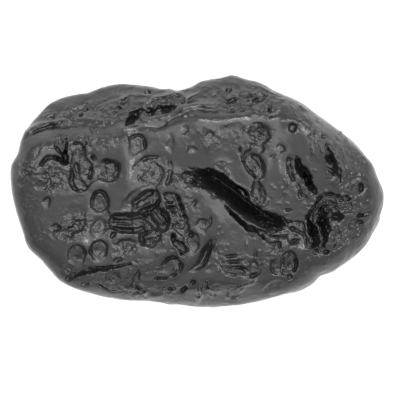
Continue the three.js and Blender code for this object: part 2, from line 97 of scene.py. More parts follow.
# The ground right of the trench lies low at the trench: its line, how far the drop reaches, and the drop.
BANK = ([(-1.0, 1.5), (1.2, 0.85), (3.2, -0.45), (5.3, -2.55), (8.5, -4.1)], 5.5, 1.25)

# Crests and folds: a line of points, half width, height.
FOLDS = [
    ([(-14.0, 8.0), (-8.0, 7.7), (-3.0, 8.3), (2.0, 8.6), (8.0, 8.3)], 2.20, 0.16),
    ([(-17.6, 6.2), (-16.4, 6.8), (-14.5, 7.25), (-12.6, 7.4), (-10.0, 7.3)], 0.50, 0.16),
    ([(-17.3, 5.4), (-15.8, 6.25), (-13.5, 6.7), (-11.0, 6.6)], 0.50, -0.10),
    ([(-7.6, 6.7), (-5.5, 7.3), (-3.2, 7.95), (-1.6, 8.7), (0.2, 9.05), (1.6, 9.0)], 0.45, 0.25),
    ([(-4.5, 6.8), (-2.2, 7.7), (-0.6, 8.3), (2.0, 8.1), (5.0, 8.6)], 0.50, -0.14),
    ([(-9.2, 9.3), (-7.4, 9.8), (-5.0, 10.0)], 0.40, 0.18),
    ([(-5.8, 9.35), (-4.0, 9.85), (-2.0, 10.2)], 0.35, 0.20),
    ([(-2.2, 8.9), (-1.2, 9.6), (0.0, 10.25), (1.6, 11.0)], 0.40, 0.22),
    ([(9.0, 7.3), (11.0, 7.5), (12.0, 6.6), (12.4, 5.0), (12.9, 3.4)], 0.50, 0.22),
    ([(-6.4, -8.9), (-4.2, -9.2), (-2.0, -8.8), (-0.4, -7.8), (0.7, -6.4), (1.2, -5.0)], 0.65, -0.45),
    ([(4.1, -9.75), (5.0, -9.4), (5.9, -9.1)], 0.18, 0.15),
]

# ---------------------------------------------------------------- hollows

# Centre x and y seen from above, length, width, turn, depth along the normal, power of the walls.
PITS = [
    # left end
    (-11.6, 5.1, 0.7, 0.4, -40, 0.4, 2.0), (-14.15, 5.1, 1.9, 0.9, -78, 0.4, 2.5),
    (-13.7, 3.45, 0.8, 0.55, 60, 0.6, 2.0),
    # left middle
    (-9.25, 2.25, 2.1, 1.9, 20, 0.42, 3.0), (-10.1, -0.95, 2.3, 1.6, 80, 0.49, 3.0),
    (-8.75, -4.4, 0.8, 0.45, 70, 0.45, 2.0),
    # lower left
    (-12.35, -6.35, 2.2, 1.8, 80, 0.52, 3.0), (-10.2, -5.95, 2.0, 1.45, 85, 0.52, 3.0),
    (-8.2, -6.85, 0.8, 0.5, 0, 0.32, 3.0), (-11.5, -9.4, 0.9, 0.35, 5, 0.4, 2.0),
    (-6.25, -8.4, 1.2, 0.5, 75, 0.35, 2.5), (-6.1, -9.75, 1.0, 0.35, -35, 0.3, 2.5),
    # centre
    (-5.0, -4.5, 2.0, 1.7, 20, 0.49, 3.5), (-1.7, -3.3, 1.7, 1.2, 80, 0.42, 3.0),
    (0.4, -3.3, 1.4, 1.15, 80, 0.28, 3.0), (-0.75, -5.1, 2.0, 1.5, -70, 0.36, 3.0),
    (-0.75, -4.3, 0.9, 0.35, -55, 0.45, 2.0), (-2.3, 1.35, 1.1, 0.55, -20, 0.16, 2.5),
    (-1.7, 0.7, 1.1, 0.55, -20, 0.16, 2.5), (-4.0, 1.6, 1.5, 0.9, 50, 0.2, 2.5),
    # bottom edge
    (-2.75, -7.6, 2.1, 1.9, 60, 0.52, 3.0), (5.5, -7.9, 1.7, 1.2, 30, 0.32, 3.0),
    # right of the trench
    (9.2, -7.3, 2.3, 1.4, 78, 0.58, 3.0), (8.0, -7.5, 1.7, 1.1, 75, 0.42, 3.0),
    (9.35, -8.75, 0.5, 0.4, 0, 0.3, 2.5), (9.2, -1.75, 0.8, 0.3, -10, 0.25, 2.0),
    # right end
    (14.35, -2.45, 1.2, 0.9, 30, 0.45, 2.0), (16.95, -2.4, 1.1, 0.3, 15, 0.35, 2.0),
    (13.85, -5.6, 0.6, 0.4, 60, 0.35, 2.5), (13.1, -6.2, 0.6, 0.45, 30, 0.4, 2.5),
    (16.2, -4.1, 0.5, 0.35, 0, 0.2, 2.5),
    # upper edge
    (-15.1, 7.75, 0.8, 0.3, 10, 0.35, 2.0), (-8.8, 8.1, 0.9, 0.35, 30, 0.45, 2.0),
    (-8.3, 8.75, 0.6, 0.25, 0, 0.25, 2.0), (-8.4, 10.45, 0.8, 0.35, 30, 0.35, 2.0),
    (-5.25, 10.35, 0.7, 0.4, 0, 0.35, 2.0), (3.1, 10.6, 0.5, 0.35, 10, 0.25, 2.0),
    (7.3, 8.6, 0.9, 0.35, 75, 0.5, 2.0), (7.4, 7.75, 0.3, 0.25, 0, 0.3, 2.0),
    (-12.0, 7.95, 0.5, 0.3, 60, 0.3, 2.0),
]

# Softer pits: one wall steep, the other easy.
BOWLS = [
    (-12.35, 4.3, 1.5, 1.3, 60, 0.39, 2.5), (-15.45, -1.05, 0.9, 0.8, 70, 0.24, 2.5),
    (-16.3, 4.1, 0.9, 0.5, 80, 0.2, 2.5), (-17.6, -1.0, 0.8, 0.6, 60, 0.2, 2.5),
    (-10.2, -3.35, 1.8, 1.6, 60, 0.36, 2.5), (-9.5, -2.15, 0.7, 0.6, 0, 0.21, 2.5),
    (-13.5, -4.2, 1.2, 0.9, 15, 0.36, 2.5), (-12.4, -3.5, 1.7, 1.1, 30, 0.36, 2.5),
    (-14.5, -3.6, 1.0, 0.9, 0, 0.27, 2.5), (-7.3, -5.4, 2.1, 1.1, 20, 0.32, 2.5),
    (-13.35, -8.0, 1.2, 0.9, -40, 0.21, 2.5), (-8.75, -8.75, 1.6, 1.4, 80, 0.36, 2.5),
    (-4.3, -8.05, 2.6, 1.5, 8, 0.32, 2.5), (0.6, -9.5, 1.1, 0.6, 80, 0.24, 2.5),
    (-6.3, 4.95, 1.8, 1.6, 60, 0.32, 2.5), (-1.4, 6.3, 0.8, 0.6, 60, 0.2, 2.5),
    (1.15, 5.85, 0.9, 0.6, 70, 0.2, 2.5), (6.3, 6.0, 2.0, 1.75, 60, 0.58, 2.5),
    (8.4, 4.4, 0.9, 0.7, 60, 0.21, 2.5), (9.55, 6.6, 0.95, 0.8, 80, 0.42, 2.5),
    (12.8, 5.65, 0.6, 0.5, 0, 0.2, 2.5), (7.8, -5.45, 1.2, 0.9, 0, 0.36, 2.5),
    (16.3, 0.45, 1.4, 1.1, 50, 0.27, 2.5), (16.1, -3.4, 1.5, 1.2, 40, 0.27, 2.5),
    (12.3, -5.95, 1.4, 0.9, 10, 0.28, 2.5), (-11.7, 8.8, 0.9, 0.7, 30, 0.21, 2.5),
    (-12.4, 8.6, 0.6, 0.5, 0, 0.2, 2.5),
]

SLOTS = [
    (9.65, 2.4, 3.0, 1.2, -84, 0.2, 3.0), (5.65, 2.85, 3.1, 1.5, -60, 0.45, 3.0),
    (6.2, 9.65, 1.7, 0.6, 25, 0.4, 3.0), (12.75, -1.9, 3.0, 1.7, 52, 0.6, 4.0),
    (-7.15, -3.1, 3.8, 1.9, -3, 0.8, 4.0), (-4.05, -2.65, 2.7, 1.8, -52, 0.9, 3.5),
    (-5.5, -0.85, 3.1, 1.4, 38, 0.6, 3.5), (-2.0, -5.35, 1.9, 0.45, -47, 0.6, 2.0),
    (-11.9, 2.2, 3.3, 1.9, -72, 0.32, 4.0), (-12.3, 0.9, 1.7, 1.1, -35, 0.4, 4.0),
]

DISHES = [
    (-14.7, 1.8, 3.7, 3.1, 10, 0.28, 2.5), (-16.1, 0.6, 1.6, 0.9, -10, 0.2, 2.5),
    (-12.6, -2.1, 2.4, 1.4, 10, 0.25, 2.5), (-4.6, 2.2, 3.9, 3.3, 0, 0.25, 2.5),
    (-6.9, -1.0, 2.6, 1.4, 35, 0.4, 2.5), (-2.5, -1.6, 3.6, 1.6, -65, 0.55, 2.5),
    (-2.8, 5.0, 2.0, 0.8, 90, 0.25, 2.5), (-0.2, 5.3, 1.9, 1.3, 80, 0.2, 2.5),
    (-0.6, 4.4, 1.2, 0.9, 0, 0.25, 2.5), (3.2, 6.6, 2.2, 1.0, 10, 0.25, 2.5),
    (-0.8, 7.7, 1.3, 0.7, 0, 0.2, 2.5), (-6.9, 5.6, 1.1, 0.7, 80, 0.2, 2.5),
    (6.0, 4.5, 1.9, 1.2, 0, 0.4, 2.5), (6.1, 0.1, 2.7, 1.4, -70, 0.5, 2.5),
    (8.55, 3.0, 2.1, 0.7, 88, 0.15, 2.5), (4.5, -6.5, 4.6, 3.8, -60, 0.10, 2.5),
    (14.7, -1.1, 2.0, 1.5, 0, 0.45, 2.5), (16.3, 3.0, 2.6, 2.2, 0, 0.2, 2.5),
    (7.8, -9.75, 2.1, 1.2, 32, 0.15, 2.5), (-13.0, 7.9, 1.4, 0.8, 0, 0.2, 2.5),
    (9.9, -4.2, 1.7, 1.9, 0, 0.1, 2.5), (1.2, -7.7, 1.4, 0.9, 10, 0.2, 2.5),
    (-4.6, -10.2, 1.8, 0.8, -5, 0.2, 2.5), (15.9, 1.4, 1.3, 1.0, 0, 0.25, 2.5),
]

# Grooves along a line: at each point x, y, half width and depth.
GROOVES = [
    [(-1.0, 1.5, 0.6, 0.3), (0.0, 1.25, 1.05, 0.9), (0.9, 1.2, 1.2, 2.6), (1.8, 0.8, 1.25, 3.6),
     (2.7, 0.2, 1.15, 3.6), (3.6, -0.55, 1.0, 3.6), (4.55, -1.45, 0.95, 3.6), (5.5, -2.2, 0.85, 3.4),
     (6.5, -2.7, 0.95, 3.0), (7.6, -3.15, 1.0, 2.4), (8.4, -3.5, 0.5, 0.8)],
    [(2.7, -1.35, 0.2, 0.4), (3.3, -2.1, 0.28, 1.0), (4.0, -2.75, 0.34, 1.3), (4.8, -3.3, 0.38, 1.4),
     (5.7, -3.75, 0.46, 1.4), (6.6, -3.95, 0.5, 1.3), (7.5, -4.15, 0.45, 1.3), (8.2, -4.2, 0.25, 0.5)],
    [(13.2, 4.8, 0.3, 0.4), (13.3, 4.0, 0.6, 1.5), (13.55, 3.0, 0.8, 1.8), (13.8, 2.3, 0.62, 1.6),
     (14.35, 1.6, 0.3, 0.9), (14.5, 1.0, 0.15, 0.3)],
    [(10.05, 3.6, 0.2, 0.3), (10.25, 2.9, 0.36, 1.2), (10.5, 2.2, 0.42, 1.4), (10.95, 1.6, 0.36, 1.2),
     (11.25, 0.9, 0.42, 1.4), (11.5, 0.3, 0.42, 1.2), (11.75, -0.2, 0.2, 0.4)],
    [(11.3, -2.9, 0.15, 0.4), (11.5, -3.6, 0.45, 1.5), (11.75, -4.5, 0.55, 1.8), (11.95, -5.3, 0.45, 1.4),
     (12.2, -6.0, 0.2, 0.4)],
    [(13.1, -1.5, 0.25, 0.7), (12.85, -2.4, 0.4, 1.3), (12.85, -3.2, 0.5, 1.7), (12.95, -4.0, 0.5, 1.8),
     (12.9, -4.9, 0.42, 1.4), (12.75, -5.7, 0.2, 0.5)],
    [(-7.1, 7.1, 0.3, 0.5), (-6.8, 7.45, 0.6, 1.3), (-6.4, 7.95, 0.6, 1.5), (-5.9, 8.35, 0.65, 1.6),
     (-5.3, 8.45, 0.6, 1.6), (-4.8, 8.35, 0.4, 1.0)],
    [(-4.4, 8.45, 0.4, 1.0), (-3.8, 8.4, 0.8, 1.8), (-3.1, 8.55, 0.8, 1.8), (-2.5, 8.8, 0.6, 1.4),
     (-1.9, 9.2, 0.5, 0.8), (-1.6, 9.6, 0.3, 0.4)],
    [(-13.5, -8.95, 0.3, 0.4), (-12.3, -8.35, 0.34, 0.7), (-11.0, -7.95, 0.31, 0.7),
     (-9.6, -7.7, 0.26, 0.7), (-8.2, -7.45, 0.18, 0.6), (-6.9, -7.3, 0.1, 0.3)],
    [(-10.3, -9.4, 0.12, 0.2), (-9.5, -9.85, 0.2, 0.35), (-8.5, -10.15, 0.18, 0.35),
     (-7.6, -10.1, 0.12, 0.2)],
    [(-13.45, 5.1, 0.1, 0.3), (-13.5, 4.1, 0.16, 0.7), (-13.7, 3.1, 0.1, 0.3)],
    [(8.6, -2.6, 0.12, 0.3), (9.1, -3.1, 0.17, 0.5), (9.9, -3.0, 0.15, 0.45), (10.7, -3.35, 0.17, 0.45),
     (10.85, -4.2, 0.16, 0.4), (11.0, -5.4, 0.14, 0.35), (11.3, -6.4, 0.1, 0.2)],
    [(11.1, -2.7, 0.1, 0.3), (11.5, -1.8, 0.15, 0.5), (12.1, -0.95, 0.17, 0.6), (12.9, -0.35, 0.25, 0.7),
     (13.7, -0.3, 0.2, 0.5)],
    [(14.2, -0.35, 0.1, 0.3), (14.7, -0.55, 0.3, 0.7), (15.2, -0.65, 0.28, 0.7), (15.6, -0.95, 0.1, 0.3)],
    [(1.15, -5.0, 0.25, 0.3), (0.85, -6.0, 0.48, 0.8), (0.5, -6.8, 0.46, 0.75), (-0.1, -7.4, 0.25, 0.35),
     (-0.9, -8.0, 0.12, 0.15)],
]

# Fine ribs (+) and grooves (-) on the top: half width, rise, then the points of the line.
MARKS = [
    # the strong strokes
    (0.28, -0.90, [(-7.3, 7.0), (-6.9, 7.4), (-6.4, 7.9), (-5.9, 8.3)]),
    (0.34, -0.90, [(-5.3, 8.45), (-4.6, 8.3), (-3.9, 8.4), (-3.2, 8.55), (-2.6, 8.8)]),
    (0.25, -0.30, [(-4.6, 3.1), (-4.0, 2.6), (-3.7, 1.9)]),
    (0.10, 0.30, [(-5.8, 1.6), (-5.0, 1.75), (-4.4, 2.3)]),
    (0.12, -0.35, [(-5.9, 1.9), (-5.3, 2.2), (-4.8, 2.8)]),
    (0.12, -0.35, [(-5.2, 0.9), (-4.6, 0.8), (-4.0, 0.9)]),
    (0.16, -0.35, [(1.9, -7.1), (2.3, -7.6), (2.9, -8.2), (3.6, -8.5)]),
    (0.14, -0.35, [(2.6, -7.6), (3.4, -7.8), (4.2, -7.7), (5.0, -7.9)]),
    (0.12, 0.30, [(2.9, -7.3), (3.8, -7.4), (4.6, -7.25)]),
    (0.12, -0.30, [(3.0, -6.9), (3.9, -7.0), (4.8, -6.9)]),
    (0.16, -0.45, [(6.6, -4.5), (6.9, -5.0), (7.3, -5.3)]),
    (0.16, -0.45, [(9.4, -3.6), (10.0, -3.9), (10.6, -4.2)]),
    (0.14, -0.40, [(9.2, -4.7), (9.9, -4.9), (10.5, -4.8)]),
    (0.19, -0.70, [(-16.2, 2.6), (-15.7, 3.3), (-15.0, 3.6), (-14.2, 3.4), (-13.2, 2.8)]),
    (0.13, -0.60, [(-14.75, 5.0), (-14.3, 4.3), (-13.8, 3.8)]),
    (0.12, -0.60, [(-13.45, 5.6), (-13.4, 4.6), (-13.5, 3.9)]),
    (0.16, -0.50, [(-12.9, 4.85), (-12.3, 4.95), (-11.8, 4.5), (-11.7, 3.9)]),
    (0.20, -0.80, [(-12.75, 3.1), (-12.45, 2.5), (-12.3, 1.9)]),
    (0.16, -0.60, [(-13.0, 2.7), (-12.85, 1.6), (-13.05, 0.9), (-12.4, 0.15)]),
    (0.16, -0.50, [(9.15, 3.7), (9.2, 3.0), (9.35, 2.3), (9.5, 1.7), (9.75, 1.1)]),
    (0.30, -0.80, [(13.3, 4.0), (13.5, 3.2), (13.7, 2.4)]),
    (0.24, -0.80, [(10.3, 2.9), (10.6, 2.2), (11.0, 1.4), (11.3, 0.7)]),
    (0.16, -0.50, [(9.95, 1.0), (10.2, 0.5), (10.3, -0.1), (10.5, -0.7)]),
    (0.12, -0.50, [(10.8, 2.7), (11.3, 2.0)]),
    (0.12, -0.50, [(11.2, 2.1), (11.6, 1.5)]),
    (0.14, -0.60, [(10.3, 2.2), (10.45, 1.6)]),
    (0.10, 0.40, [(10.55, 1.5), (10.95, 0.9)]),
    (0.22, -0.70, [(13.5, -2.25), (14.1, -2.4), (14.8, -2.5)]),
    (0.18, -0.60, [(16.3, 0.9), (16.65, 0.5), (16.4, 0.05)]),
    (0.12, -0.28, [(11.2, -2.8), (11.5, -1.7), (12.2, -0.75), (13.0, -0.3), (13.9, -0.25)]),
    (0.12, -0.45, [(11.75, -2.1), (12.4, -1.25), (13.2, -0.85)]),
    (0.28, -1.00, [(5.3, 4.0), (5.9, 3.5), (6.35, 2.9), (6.55, 2.3)]),
    (0.12, -0.35, [(4.15, 4.6), (4.3, 3.8), (4.7, 2.9), (5.2, 2.1), (5.8, 1.5)]),
    (0.16, -0.60, [(-11.0, 2.7), (-11.05, 1.9), (-11.1, 1.2)]),
    (0.26, -0.90, [(-11.0, 3.8), (-10.65, 3.5), (-10.5, 3.1)]),
    (0.18, -0.45, [(-9.8, 3.1), (-9.1, 3.15), (-8.5, 2.75), (-8.2, 2.1)]),
    (0.25, -0.90, [(-13.5, 4.1), (-13.6, 3.6), (-13.8, 3.3)]),
    (0.16, -0.35, [(-6.5, 2.6), (-5.8, 3.3), (-4.8, 3.6), (-3.8, 3.7)]),
    (0.22, -0.38, [(-3.1, 3.4), (-2.9, 2.4), (-3.0, 1.4), (-3.4, 0.5)]),
    (0.24, -0.90, [(-6.6, -1.5), (-6.45, -1.0), (-5.8, -0.5), (-5.0, -0.05), (-4.4, 0.05)]),
    (0.18, -0.70, [(-4.2, 0.0), (-4.05, -0.6), (-4.4, -1.3), (-5.0, -1.7), (-6.0, -1.95)]),
    (0.10, 0.45, [(-6.4, -1.75), (-5.6, -1.45), (-4.9, -1.05)]),
    (0.22, -0.90, [(-8.8, -2.35), (-8.0, -2.45), (-7.0, -2.6), (-6.0, -2.35), (-5.4, -2.6), (-5.2, -3.2)]),
    (0.18, -0.80, [(-8.9, -3.45), (-8.1, -3.85), (-7.0, -4.0), (-6.1, -3.85), (-5.5, -3.4)]),
    (0.22, -0.90, [(-5.0, -1.95), (-5.0, -2.6), (-4.6, -3.2), (-3.9, -3.6)]),
    (0.24, -0.90, [(-4.1, -1.75), (-3.4, -2.15), (-3.05, -2.8), (-3.3, -3.35)]),
    (0.15, -0.60, [(-3.6, -0.2), (-3.0, -0.1), (-2.3, -0.2), (-1.9, -1.0), (-1.6, -1.9), (-1.3, -2.7)]),
    (0.12, -0.35, [(-1.25, -2.9), (-1.1, -3.6), (-1.4, -4.1)]),
    (0.09, 0.40, [(-3.3, -0.75), (-2.8, -0.85)]),
    (0.08, -0.40, [(-3.2, -1.0), (-2.6, -1.05)]),
    (0.09, 0.40, [(-3.1, -1.2), (-2.6, -1.3)]),
    (0.08, -0.40, [(-3.0, -1.45), (-2.4, -1.5)]),
    (0.10, 0.40, [(-2.9, -1.75), (-2.4, -1.8)]),
    (0.08, -0.40, [(-2.8, -2.0), (-2.2, -2.05)]),
    (0.10, 0.40, [(-2.7, -2.25), (-2.2, -2.3)]),
    (0.10, 0.35, [(-2.6, -2.7), (-2.2, -2.6)]),
    (0.20, -0.60, [(-2.55, -3.85), (-2.55, -4.3), (-2.65, -4.8)]),
    (0.18, -0.70, [(-1.1, -4.1), (-0.85, -4.4), (-0.6, -4.65)]),
    (0.22, -1.00, [(-2.6, -4.9), (-2.05, -5.35), (-1.5, -5.95)]),
    (0.12, -0.50, [(-2.0, -6.0), (-1.7, -6.35), (-1.3, -6.6)]),
    (0.18, -0.70, [(-5.1, -4.0), (-5.7, -4.15), (-5.85, -4.7), (-5.55, -5.2)]),
    (0.16, -0.50, [(-4.6, -8.75), (-3.6, -8.8), (-2.8, -8.5), (-2.1, -8.0)]),
    (0.20, -0.28, [(-3.3, -9.9), (-2.7, -9.75), (-2.1, -9.85)]),
    (0.26, -0.50, [(-2.2, -10.0), (-1.5, -9.8), (-0.9, -9.3), (-0.3, -8.8)]),
    (0.10, -0.35, [(1.05, -3.5), (1.15, -2.9), (1.1, -2.3)]),
    (0.14, -0.32, [(2.6, -6.4), (3.4, -6.4), (4.3, -6.3)]),
    (0.16, -0.45, [(5.8, -5.8), (5.85, -6.8), (5.55, -7.4)]),
    (0.20, -0.35, [(4.2, -8.6), (5.2, -8.5), (6.2, -8.3)]),
    (0.22, -0.45, [(-11.6, -8.1), (-10.6, -7.9), (-9.4, -7.7)]),
    (0.16, -0.40, [(11.9, -5.6), (12.1, -6.1)]),
    # soft swellings and dips
    (0.45, 0.36, [(-13.0, -5.3), (-12.0, -5.5), (-11.2, -5.4), (-9.8, -4.9)]),
    (0.80, 0.20, [(-7.8, 5.8), (-7.3, 6.0)]),
    (0.80, 0.36, [(-11.5, 5.8), (-10.8, 6.0)]),
    (0.70, -0.45, [(-0.5, -0.8), (-0.1, -1.1)]),
    (0.60, -0.28, [(5.9, -6.8), (6.3, -7.0)]),
    (0.70, -0.34, [(8.6, 0.0), (9.0, -0.3)]),
    (0.70, -0.34, [(7.6, 4.0), (8.0, 3.5)]),
    (0.60, -0.30, [(9.5, -4.8), (9.9, -5.1)]),
    (0.60, 0.25, [(14.4, 6.4), (14.8, 6.1)]),
    (0.70, -0.34, [(4.2, 6.4), (4.6, 6.0)]),
    (0.70, -0.34, [(-4.1, 1.6), (-3.7, 1.4)]),
    (0.70, -0.34, [(-15.2, 0.6), (-14.8, 0.3)]),
    (0.50, 0.25, [(-1.9, 8.4), (-1.5, 8.6)]),
    (0.80, 0.32, [(0.6, 4.4), (1.0, 4.6)]),
    (0.50, 0.36, [(-9.0, -8.2), (-8.4, -8.4)]),
    (0.70, 0.32, [(-16.2, 4.4), (-15.8, 4.2)]),
    (0.80, 0.70, [(-0.3, -10.2), (0.5, -10.4)]),
    (0.60, 0.32, [(-3.6, -1.9), (-3.2, -2.0)]),
    # rims of the clear round pits
    (0.13, -0.40, [(-13.2, -6.4), (-12.95, -5.7), (-12.3, -5.45), (-11.65, -5.85), (-11.5, -6.7)]),
    (0.12, -0.36, [(-10.8, -6.6), (-10.95, -5.7), (-10.5, -5.05), (-9.8, -5.05), (-9.4, -5.6), (-9.5, -6.4)]),
    (0.12, -0.36, [(-10.8, -1.6), (-10.85, -0.7), (-10.4, 0.1), (-9.8, 0.1), (-9.35, -0.5), (-9.35, -1.3)]),
    (0.12, -0.36, [(-7.05, 5.4), (-6.5, 5.85), (-5.8, 5.7), (-5.45, 4.9), (-5.6, 4.3)]),
    (0.12, -0.36, [(8.5, -6.6), (9.0, -6.1), (9.65, -6.3), (9.9, -7.2), (9.6, -8.1)]),
    (0.12, -0.36, [(-3.7, -7.4), (-3.1, -6.7), (-2.3, -6.75), (-1.8, -7.4), (-2.0, -8.2)]),
    # left end
    (0.09, 0.12, [(-14.45, 5.5), (-13.9, 5.2)]),
    (0.09, 0.12, [(-14.35, 5.0), (-13.8, 4.7)]),
    (0.13, -0.22, [(-12.9, 1.3), (-12.8, 0.7), (-12.4, 0.1), (-12.1, 0.0), (-11.6, 0.3), (-11.1, 0.9)]),
    (0.12, -0.20, [(-11.0, 1.0), (-10.4, 1.4), (-9.9, 1.7)]),
    (0.12, -0.20, [(-9.8, 1.6), (-9.2, 1.2), (-8.6, 1.3)]),
    (0.10, 0.30, [(-18.3, 3.0), (-17.8, 2.6), (-17.2, 2.2)]),
    (0.10, 0.28, [(-17.9, 3.4), (-16.9, 2.5)]),
    (0.10, -0.30, [(-17.7, 3.2), (-16.7, 2.3)]),
    (0.12, 0.30, [(-18.3, 2.3), (-17.8, 1.7), (-17.4, 1.2)]),
    (0.12, 0.25, [(-18.4, 0.9), (-17.9, 0.6)]),
    (0.11, -0.22, [(-18.4, 1.25), (-17.9, 1.3), (-17.5, 1.6), (-17.2, 2.0), (-16.8, 1.9)]),
    (0.30, 0.12, [(-14.8, -0.2), (-13.0, -0.3), (-11.5, 0.3), (-10.2, 1.4)]),
    (0.10, -0.12, [(-15.9, 2.2), (-15.2, 2.5), (-14.4, 2.3)]),
    (0.10, -0.12, [(-15.6, 1.2), (-15.1, 0.8), (-14.3, 0.9)]),
    (0.10, 0.12, [(-15.0, 1.9), (-14.2, 1.5), (-13.6, 1.6)]),
    # upper left crest and flank
    (0.13, 0.22, [(-17.5, 6.3), (-16.8, 6.9), (-15.8, 7.2), (-14.5, 7.4), (-13.0, 7.5)]),
    (0.10, 0.12, [(-17.2, 6.2), (-16.6, 6.6), (-15.9, 6.9)]),
    (0.24, -0.32, [(-17.3, 5.9), (-16.3, 6.4), (-15.2, 6.7), (-14.0, 6.8), (-12.0, 6.9)]),
    (0.12, 0.12, [(-13.0, 7.5), (-11.8, 7.6), (-10.5, 7.5), (-9.3, 7.4)]),
    (0.14, -0.15, [(-14.4, 8.3), (-13.2, 8.5), (-12.3, 8.2)]),
    (0.12, 0.14, [(-13.5, 8.9), (-12.4, 9.2), (-11.0, 9.4), (-10.0, 9.2)]),
    # upper edge crests
    (0.11, 0.26, [(-9.0, 9.3), (-8.3, 9.45), (-7.8, 9.6), (-7.5, 9.8), (-7.0, 9.95), (-6.0, 10.0),
                  (-5.0, 9.98)]),
    (0.11, 0.20, [(-8.3, 10.3), (-7.8, 10.05), (-7.5, 9.85)]),
    (0.20, 0.10, [(-10.0, 10.25), (-8.3, 10.3)]),
    (0.12, 0.28, [(-6.0, 9.15), (-5.3, 9.45), (-4.5, 9.7), (-3.5, 9.95), (-2.8, 10.15), (-1.8, 10.25)]),
    (0.12, 0.26, [(-2.0, 8.95), (-1.7, 9.25), (-1.3, 9.5), (-0.9, 9.8), (-0.2, 10.1), (0.3, 10.5)]),
    (0.20, 0.25, [(-2.7, 8.05), (-2.0, 8.3), (-1.7, 8.65), (-1.4, 8.9), (-0.7, 9.0), (0.5, 9.05),
                  (1.5, 8.95)]),
    (0.30, -0.18, [(-2.2, 7.95), (-1.5, 8.3), (-0.7, 8.5), (0.0, 8.55), (1.8, 8.4), (3.0, 8.3), (5.0, 8.3)]),
    (0.24, -0.28, [(-5.0, 6.5), (-4.0, 6.7), (-3.3, 7.0), (-2.8, 7.5), (-2.2, 7.95)]),
    (0.12, 0.20, [(-7.9, 6.6), (-7.0, 6.8), (-6.3, 6.95), (-5.7, 7.2), (-5.1, 7.5), (-4.5, 7.7)]),
    (0.15, 0.35, [(-4.55, 8.1), (-4.5, 8.5), (-4.45, 9.0)]),
    (0.10, 0.20, [(-7.2, 7.9), (-6.7, 7.4)]),
    (0.10, 0.20, [(-6.9, 8.2), (-6.4, 7.7)]),
    (0.09, 0.25, [(-5.7, 8.6), (-5.0, 8.3)]),
    (0.09, 0.25, [(-3.9, 8.7), (-2.9, 8.75)]),
    (0.14, -0.15, [(-11.5, 10.0), (-10.0, 9.8), (-9.2, 9.7)]),
    (0.20, -0.15, [(2.0, 9.1), (3.0, 9.15), (4.0, 9.35), (5.0, 9.3)]),
    (0.12, 0.14, [(2.2, 9.6), (3.2, 9.75), (4.2, 9.9)]),
    (0.14, -0.18, [(4.6, 9.55), (5.0, 9.8), (5.7, 9.95), (6.5, 10.0)]),
    (0.16, -0.25, [(5.7, 9.3), (6.2, 9.6), (6.8, 9.9)]),
    (0.10, 0.14, [(6.2, 8.5), (6.7, 8.6)]),
    (0.10, 0.14, [(6.5, 8.3), (7.0, 8.45)]),
    (0.09, 0.12, [(0.2, 10.8), (1.0, 11.1)]),
    (0.09, 0.14, [(5.2, 11.2), (6.4, 10.7), (7.2, 10.3), (8.0, 10.0)]),
    (0.09, 0.14, [(10.2, 9.0), (11.0, 8.5), (11.3, 8.2)]),
    (0.09, 0.12, [(12.1, 7.7), (12.5, 7.55)]),
    # upper middle
    (0.12, -0.12, [(-7.0, 5.0), (-6.8, 4.6), (-6.3, 4.4)]),
    (0.13, -0.14, [(-5.5, 5.6), (-5.35, 5.0), (-5.5, 4.5)]),
    (0.13, -0.14, [(-3.3, 5.2), (-3.25, 4.8), (-3.1, 4.4)]),
    (0.14, -0.16, [(-3.1, 5.95), (-2.7, 5.95)]),
    (0.10, 0.10, [(-2.9, 5.5), (-2.8, 4.6)]),
    (0.12, -0.12, [(-2.45, 5.2), (-2.35, 4.5)]),
    (0.13, -0.12, [(0.3, 6.0), (0.42, 5.3), (0.2, 4.95)]),
    (0.11, -0.10, [(1.35, 6.15), (1.5, 5.8), (1.4, 5.5), (1.0, 5.4)]),
    (0.13, -0.14, [(2.2, 6.6), (2.3, 6.3), (2.8, 6.0), (3.2, 5.95)]),
    (0.10, -0.08, [(3.3, 7.0), (3.8, 7.05), (4.4, 6.8)]),
    # right of centre
    (0.12, -0.18, [(5.3, 6.9), (6.0, 7.0), (6.6, 6.95)]),
    (0.16, -0.40, [(6.2, 6.85), (6.5, 6.65), (6.85, 6.3)]),
    (0.10, 0.22, [(6.05, 6.55), (6.4, 6.3), (6.85, 5.95)]),
    (0.09, -0.25, [(6.15, 6.3), (6.5, 6.0), (6.85, 5.75)]),
    (0.13, -0.18, [(5.35, 6.4), (5.4, 6.0), (5.65, 5.75)]),
    (0.13, -0.18, [(5.9, 5.4), (6.2, 5.1), (6.5, 5.05)]),
    (0.18, -0.28, [(6.7, 5.35), (7.1, 5.45), (7.4, 5.9)]),
    (0.10, -0.14, [(7.6, 6.0), (7.65, 6.3), (7.5, 6.5)]),
    (0.14, -0.24, [(4.15, 4.7), (4.1, 4.4), (4.2, 4.1)]),
    (0.11, -0.14, [(4.3, 4.85), (5.0, 4.95), (5.4, 4.85), (6.2, 4.9)]),
    (0.14, -0.22, [(6.5, 4.7), (6.45, 4.4), (6.3, 4.15)]),
    (0.11, -0.16, [(4.2, 3.9), (4.35, 3.4), (4.6, 3.0), (4.85, 2.4)]),
    (0.12, -0.20, [(5.0, 2.2), (5.4, 1.9), (5.7, 1.6), (6.0, 1.45)]),
    (0.16, 0.20, [(5.0, 3.2), (5.3, 3.1)]),
    (0.20, 0.18, [(5.3, 2.7), (5.6, 2.4), (6.0, 1.9)]),
    (0.13, 0.12, [(6.9, 3.0), (6.95, 2.2), (6.95, 1.5)]),
    (0.14, -0.14, [(8.2, 4.85), (8.5, 4.6), (8.6, 4.2)]),
    (0.25, 0.10, [(8.55, 3.8), (8.6, 2.9), (8.5, 2.0)]),
    (0.14, -0.16, [(6.3, 0.9), (6.7, 0.4), (6.9, -0.3)]),
